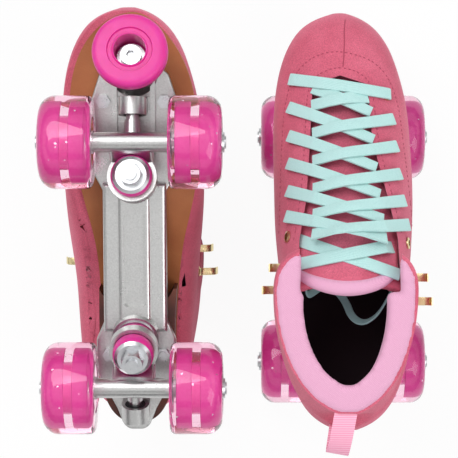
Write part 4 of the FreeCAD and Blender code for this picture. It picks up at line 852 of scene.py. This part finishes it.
# The strips' flat faces are joined, and an end that lies at an eyelet turns down into it:
# each step goes out, goes down and narrows to a share of the last.
LACE_DIVE = ((1.5, 0.25, 0.96), (1.0, 1.1, 0.8), (0.2, 1.8, 0.62))
LACE_EDGE, EYELET_NEAR = 0.35, 6.0
seats = eyelet_seats()
laces = copy_of("laces", "woven_lace")
shape = bmesh.new()
shape.from_mesh(laces.data)
bmesh.ops.dissolve_limit(shape, angle_limit=math.radians(2), verts=shape.verts, edges=shape.edges)
shape.normal_update()
LACE_END_AREA = 8.0 * 1.3 * MM * MM
ends = []
for face in shape.faces:
    centre = face.calc_center_median()
    near = min(seats, key=lambda seat: (seat[0] - centre).length)
    if abs(face.calc_area() / LACE_END_AREA - 1) > 0.2 or (near[0] - centre).length > EYELET_NEAR * MM:
        continue
    if abs(face.normal.dot(near[1])) < 0.5:
        ends.append((face, near[1]))
for face, up in ends:
    for out_by, down_by, share in LACE_DIVE:
        way = face.normal.copy()
        way = (way - up * way.dot(up)).normalized()
        grown = bmesh.ops.extrude_discrete_faces(shape, faces=[face])["faces"][0]
        middle = grown.calc_center_median()
        for vertex in grown.verts:
            spread = vertex.co - middle
            vertex.co = middle + spread * share + (way * out_by - up * down_by) * MM
        face = grown
shape.normal_update()
shape.to_mesh(laces.data)
shape.free()
soften = laces.modifiers.new("soft_edge", "BEVEL")
soften.width = LACE_EDGE * MM
soften.segments = 2
soften.limit_method = "ANGLE"
soften.angle_limit = math.radians(50)
apply_all(laces)
bpy.ops.object.shade_smooth_by_angle(angle=math.radians(40))
settle(laces, "boot", ["laces"], weave)

# Eyelets and speed hooks.
# The eyelets are pressed pale gold brass. Each hook is a riveted base and a strip that
# stands out and curls up over the lace.
# worn brass: bright, with cloudy roughness
brass, tree, output = new_material("pale_gold_brass")
place = add_node(tree, "ShaderNodeTexCoord")
wear = add_node(tree, "ShaderNodeTexNoise", {"Scale": 500.0}, {"Vector": place.outputs["Object"]})
rough = add_node(tree, "ShaderNodeMapRange", {"To Min": 0.2, "To Max": 0.4}, {"Value": wear.outputs["Fac"]})
metal = add_node(tree, "ShaderNodeBsdfPrincipled", {"Base Color": linear("#e3d3a2"), "Metallic": 1.0},
                 {"Roughness": rough.outputs[0]})
tree.links.new(metal.outputs[0], output.inputs["Surface"])
refinish("eyelets", brass)

HOOK_SPOTS = ((-1, -10, 188, 5), (-1, -24, 181, 5), (1, -16, 188, 1.5), (1, -31, 180, 1.5))
HOOK_BEND = ((0.2, -3.5), (1.2, -1.0), (5.0, -0.5), (8.5, 0.0), (10.8, 1.4), (11.4, 4.4))
HOOK_WIDE, HOOK_THICK = 5.2, 0.9
RIVET_RADIUS, RIVET_THICK = 3.6, 1.2
hook_parts = []
for way, y, z, reach in HOOK_SPOTS:
    seat = upper_tree.ray_cast(local(way * 90, y, z), Vector((-way, 0, 0)))[0]
    bpy.ops.mesh.primitive_cylinder_add(vertices=24, radius=RIVET_RADIUS * MM, depth=RIVET_THICK * MM,
                                        location=seat, rotation=(0, math.pi / 2, 0))
    rivet = bpy.context.object
    bpy.ops.object.transform_apply(location=True, rotation=True, scale=True)
    hook_parts.append(rivet)
    bpy.ops.curve.primitive_nurbs_path_add()
    hook = bpy.context.object
    hook.location = (0, 0, 0)
    hook.data.splines.clear()
    line = hook.data.splines.new("NURBS")
    line.points.add(len(HOOK_BEND) - 1)
    for number, (point, (out, up)) in enumerate(zip(line.points, HOOK_BEND)):
        out += reach if number > 1 else 0
        point.co = (*(seat + Vector((way * out, 0, up)) * MM), 1)
        point.tilt = math.pi / 2
    line.order_u = 3
    line.use_endpoint_u = True
    hook.data.extrude = (HOOK_WIDE - HOOK_THICK) / 2 * MM
    hook.data.bevel_depth = HOOK_THICK / 2 * MM
    hook.data.bevel_resolution = 2
    hook.data.twist_mode = "Z_UP"
    hook.data.use_fill_caps = True
    bpy.ops.object.convert(target="MESH")
    hook_parts.append(bpy.context.object)
bpy.ops.object.select_all(action="DESELECT")
for item in hook_parts:
    item.select_set(True)
bpy.context.view_layer.objects.active = hook_parts[0]
bpy.ops.object.join()
hooks = bpy.context.object
hooks.name = "speed_hooks"
bpy.ops.object.shade_smooth_by_angle(angle=math.radians(40))
settle(hooks, "boot", ["lace_hooks"], brass)

# Pull loop.
# A folded loop of ribbed pink webbing, sewn to the back of the cuff.
webbing, tree, output = new_material("ribbed_webbing_pink")
place = add_node(tree, "ShaderNodeTexCoord")
ribs = add_node(tree, "ShaderNodeTexWave", {"bands_direction": "Y", "Scale": 220.0},
                {"Vector": place.outputs["Object"]})
shade = add_node(tree, "ShaderNodeMix", {"data_type": "RGBA", 6: linear("#ee93b6"), 7: linear("#fbc0d4")},
                 {0: ribs.outputs["Fac"]})
cloth = add_node(tree, "ShaderNodeBsdfPrincipled", {"Roughness": 0.8}, {"Base Color": shade.outputs[2]})
tree.links.new(cloth.outputs[0], output.inputs["Surface"])
refinish("pull_loop", webbing)

# Insole.
# A felt footbed, loose inside the boot and hardly seen; its near-black colour is painted shade of the boot's
# inside.
painted_shade_felt, tree, output = new_material("insole_felt_painted_shade")
fuzz = add_node(tree, "ShaderNodeTexNoise", {"Scale": 600.0})
# near-black tones: painted shade at the bottom of the boot
shade = add_node(tree, "ShaderNodeMix", {"data_type": "RGBA", 6: linear("#1a0e10"), 7: linear("#33202a")},
                 {0: fuzz.outputs["Fac"]})
cloth = add_node(tree, "ShaderNodeBsdfPrincipled", {"Roughness": 0.95}, {"Base Color": shade.outputs[2]})
tree.links.new(cloth.outputs[0], output.inputs["Surface"])
refinish("footbed", painted_shade_felt)
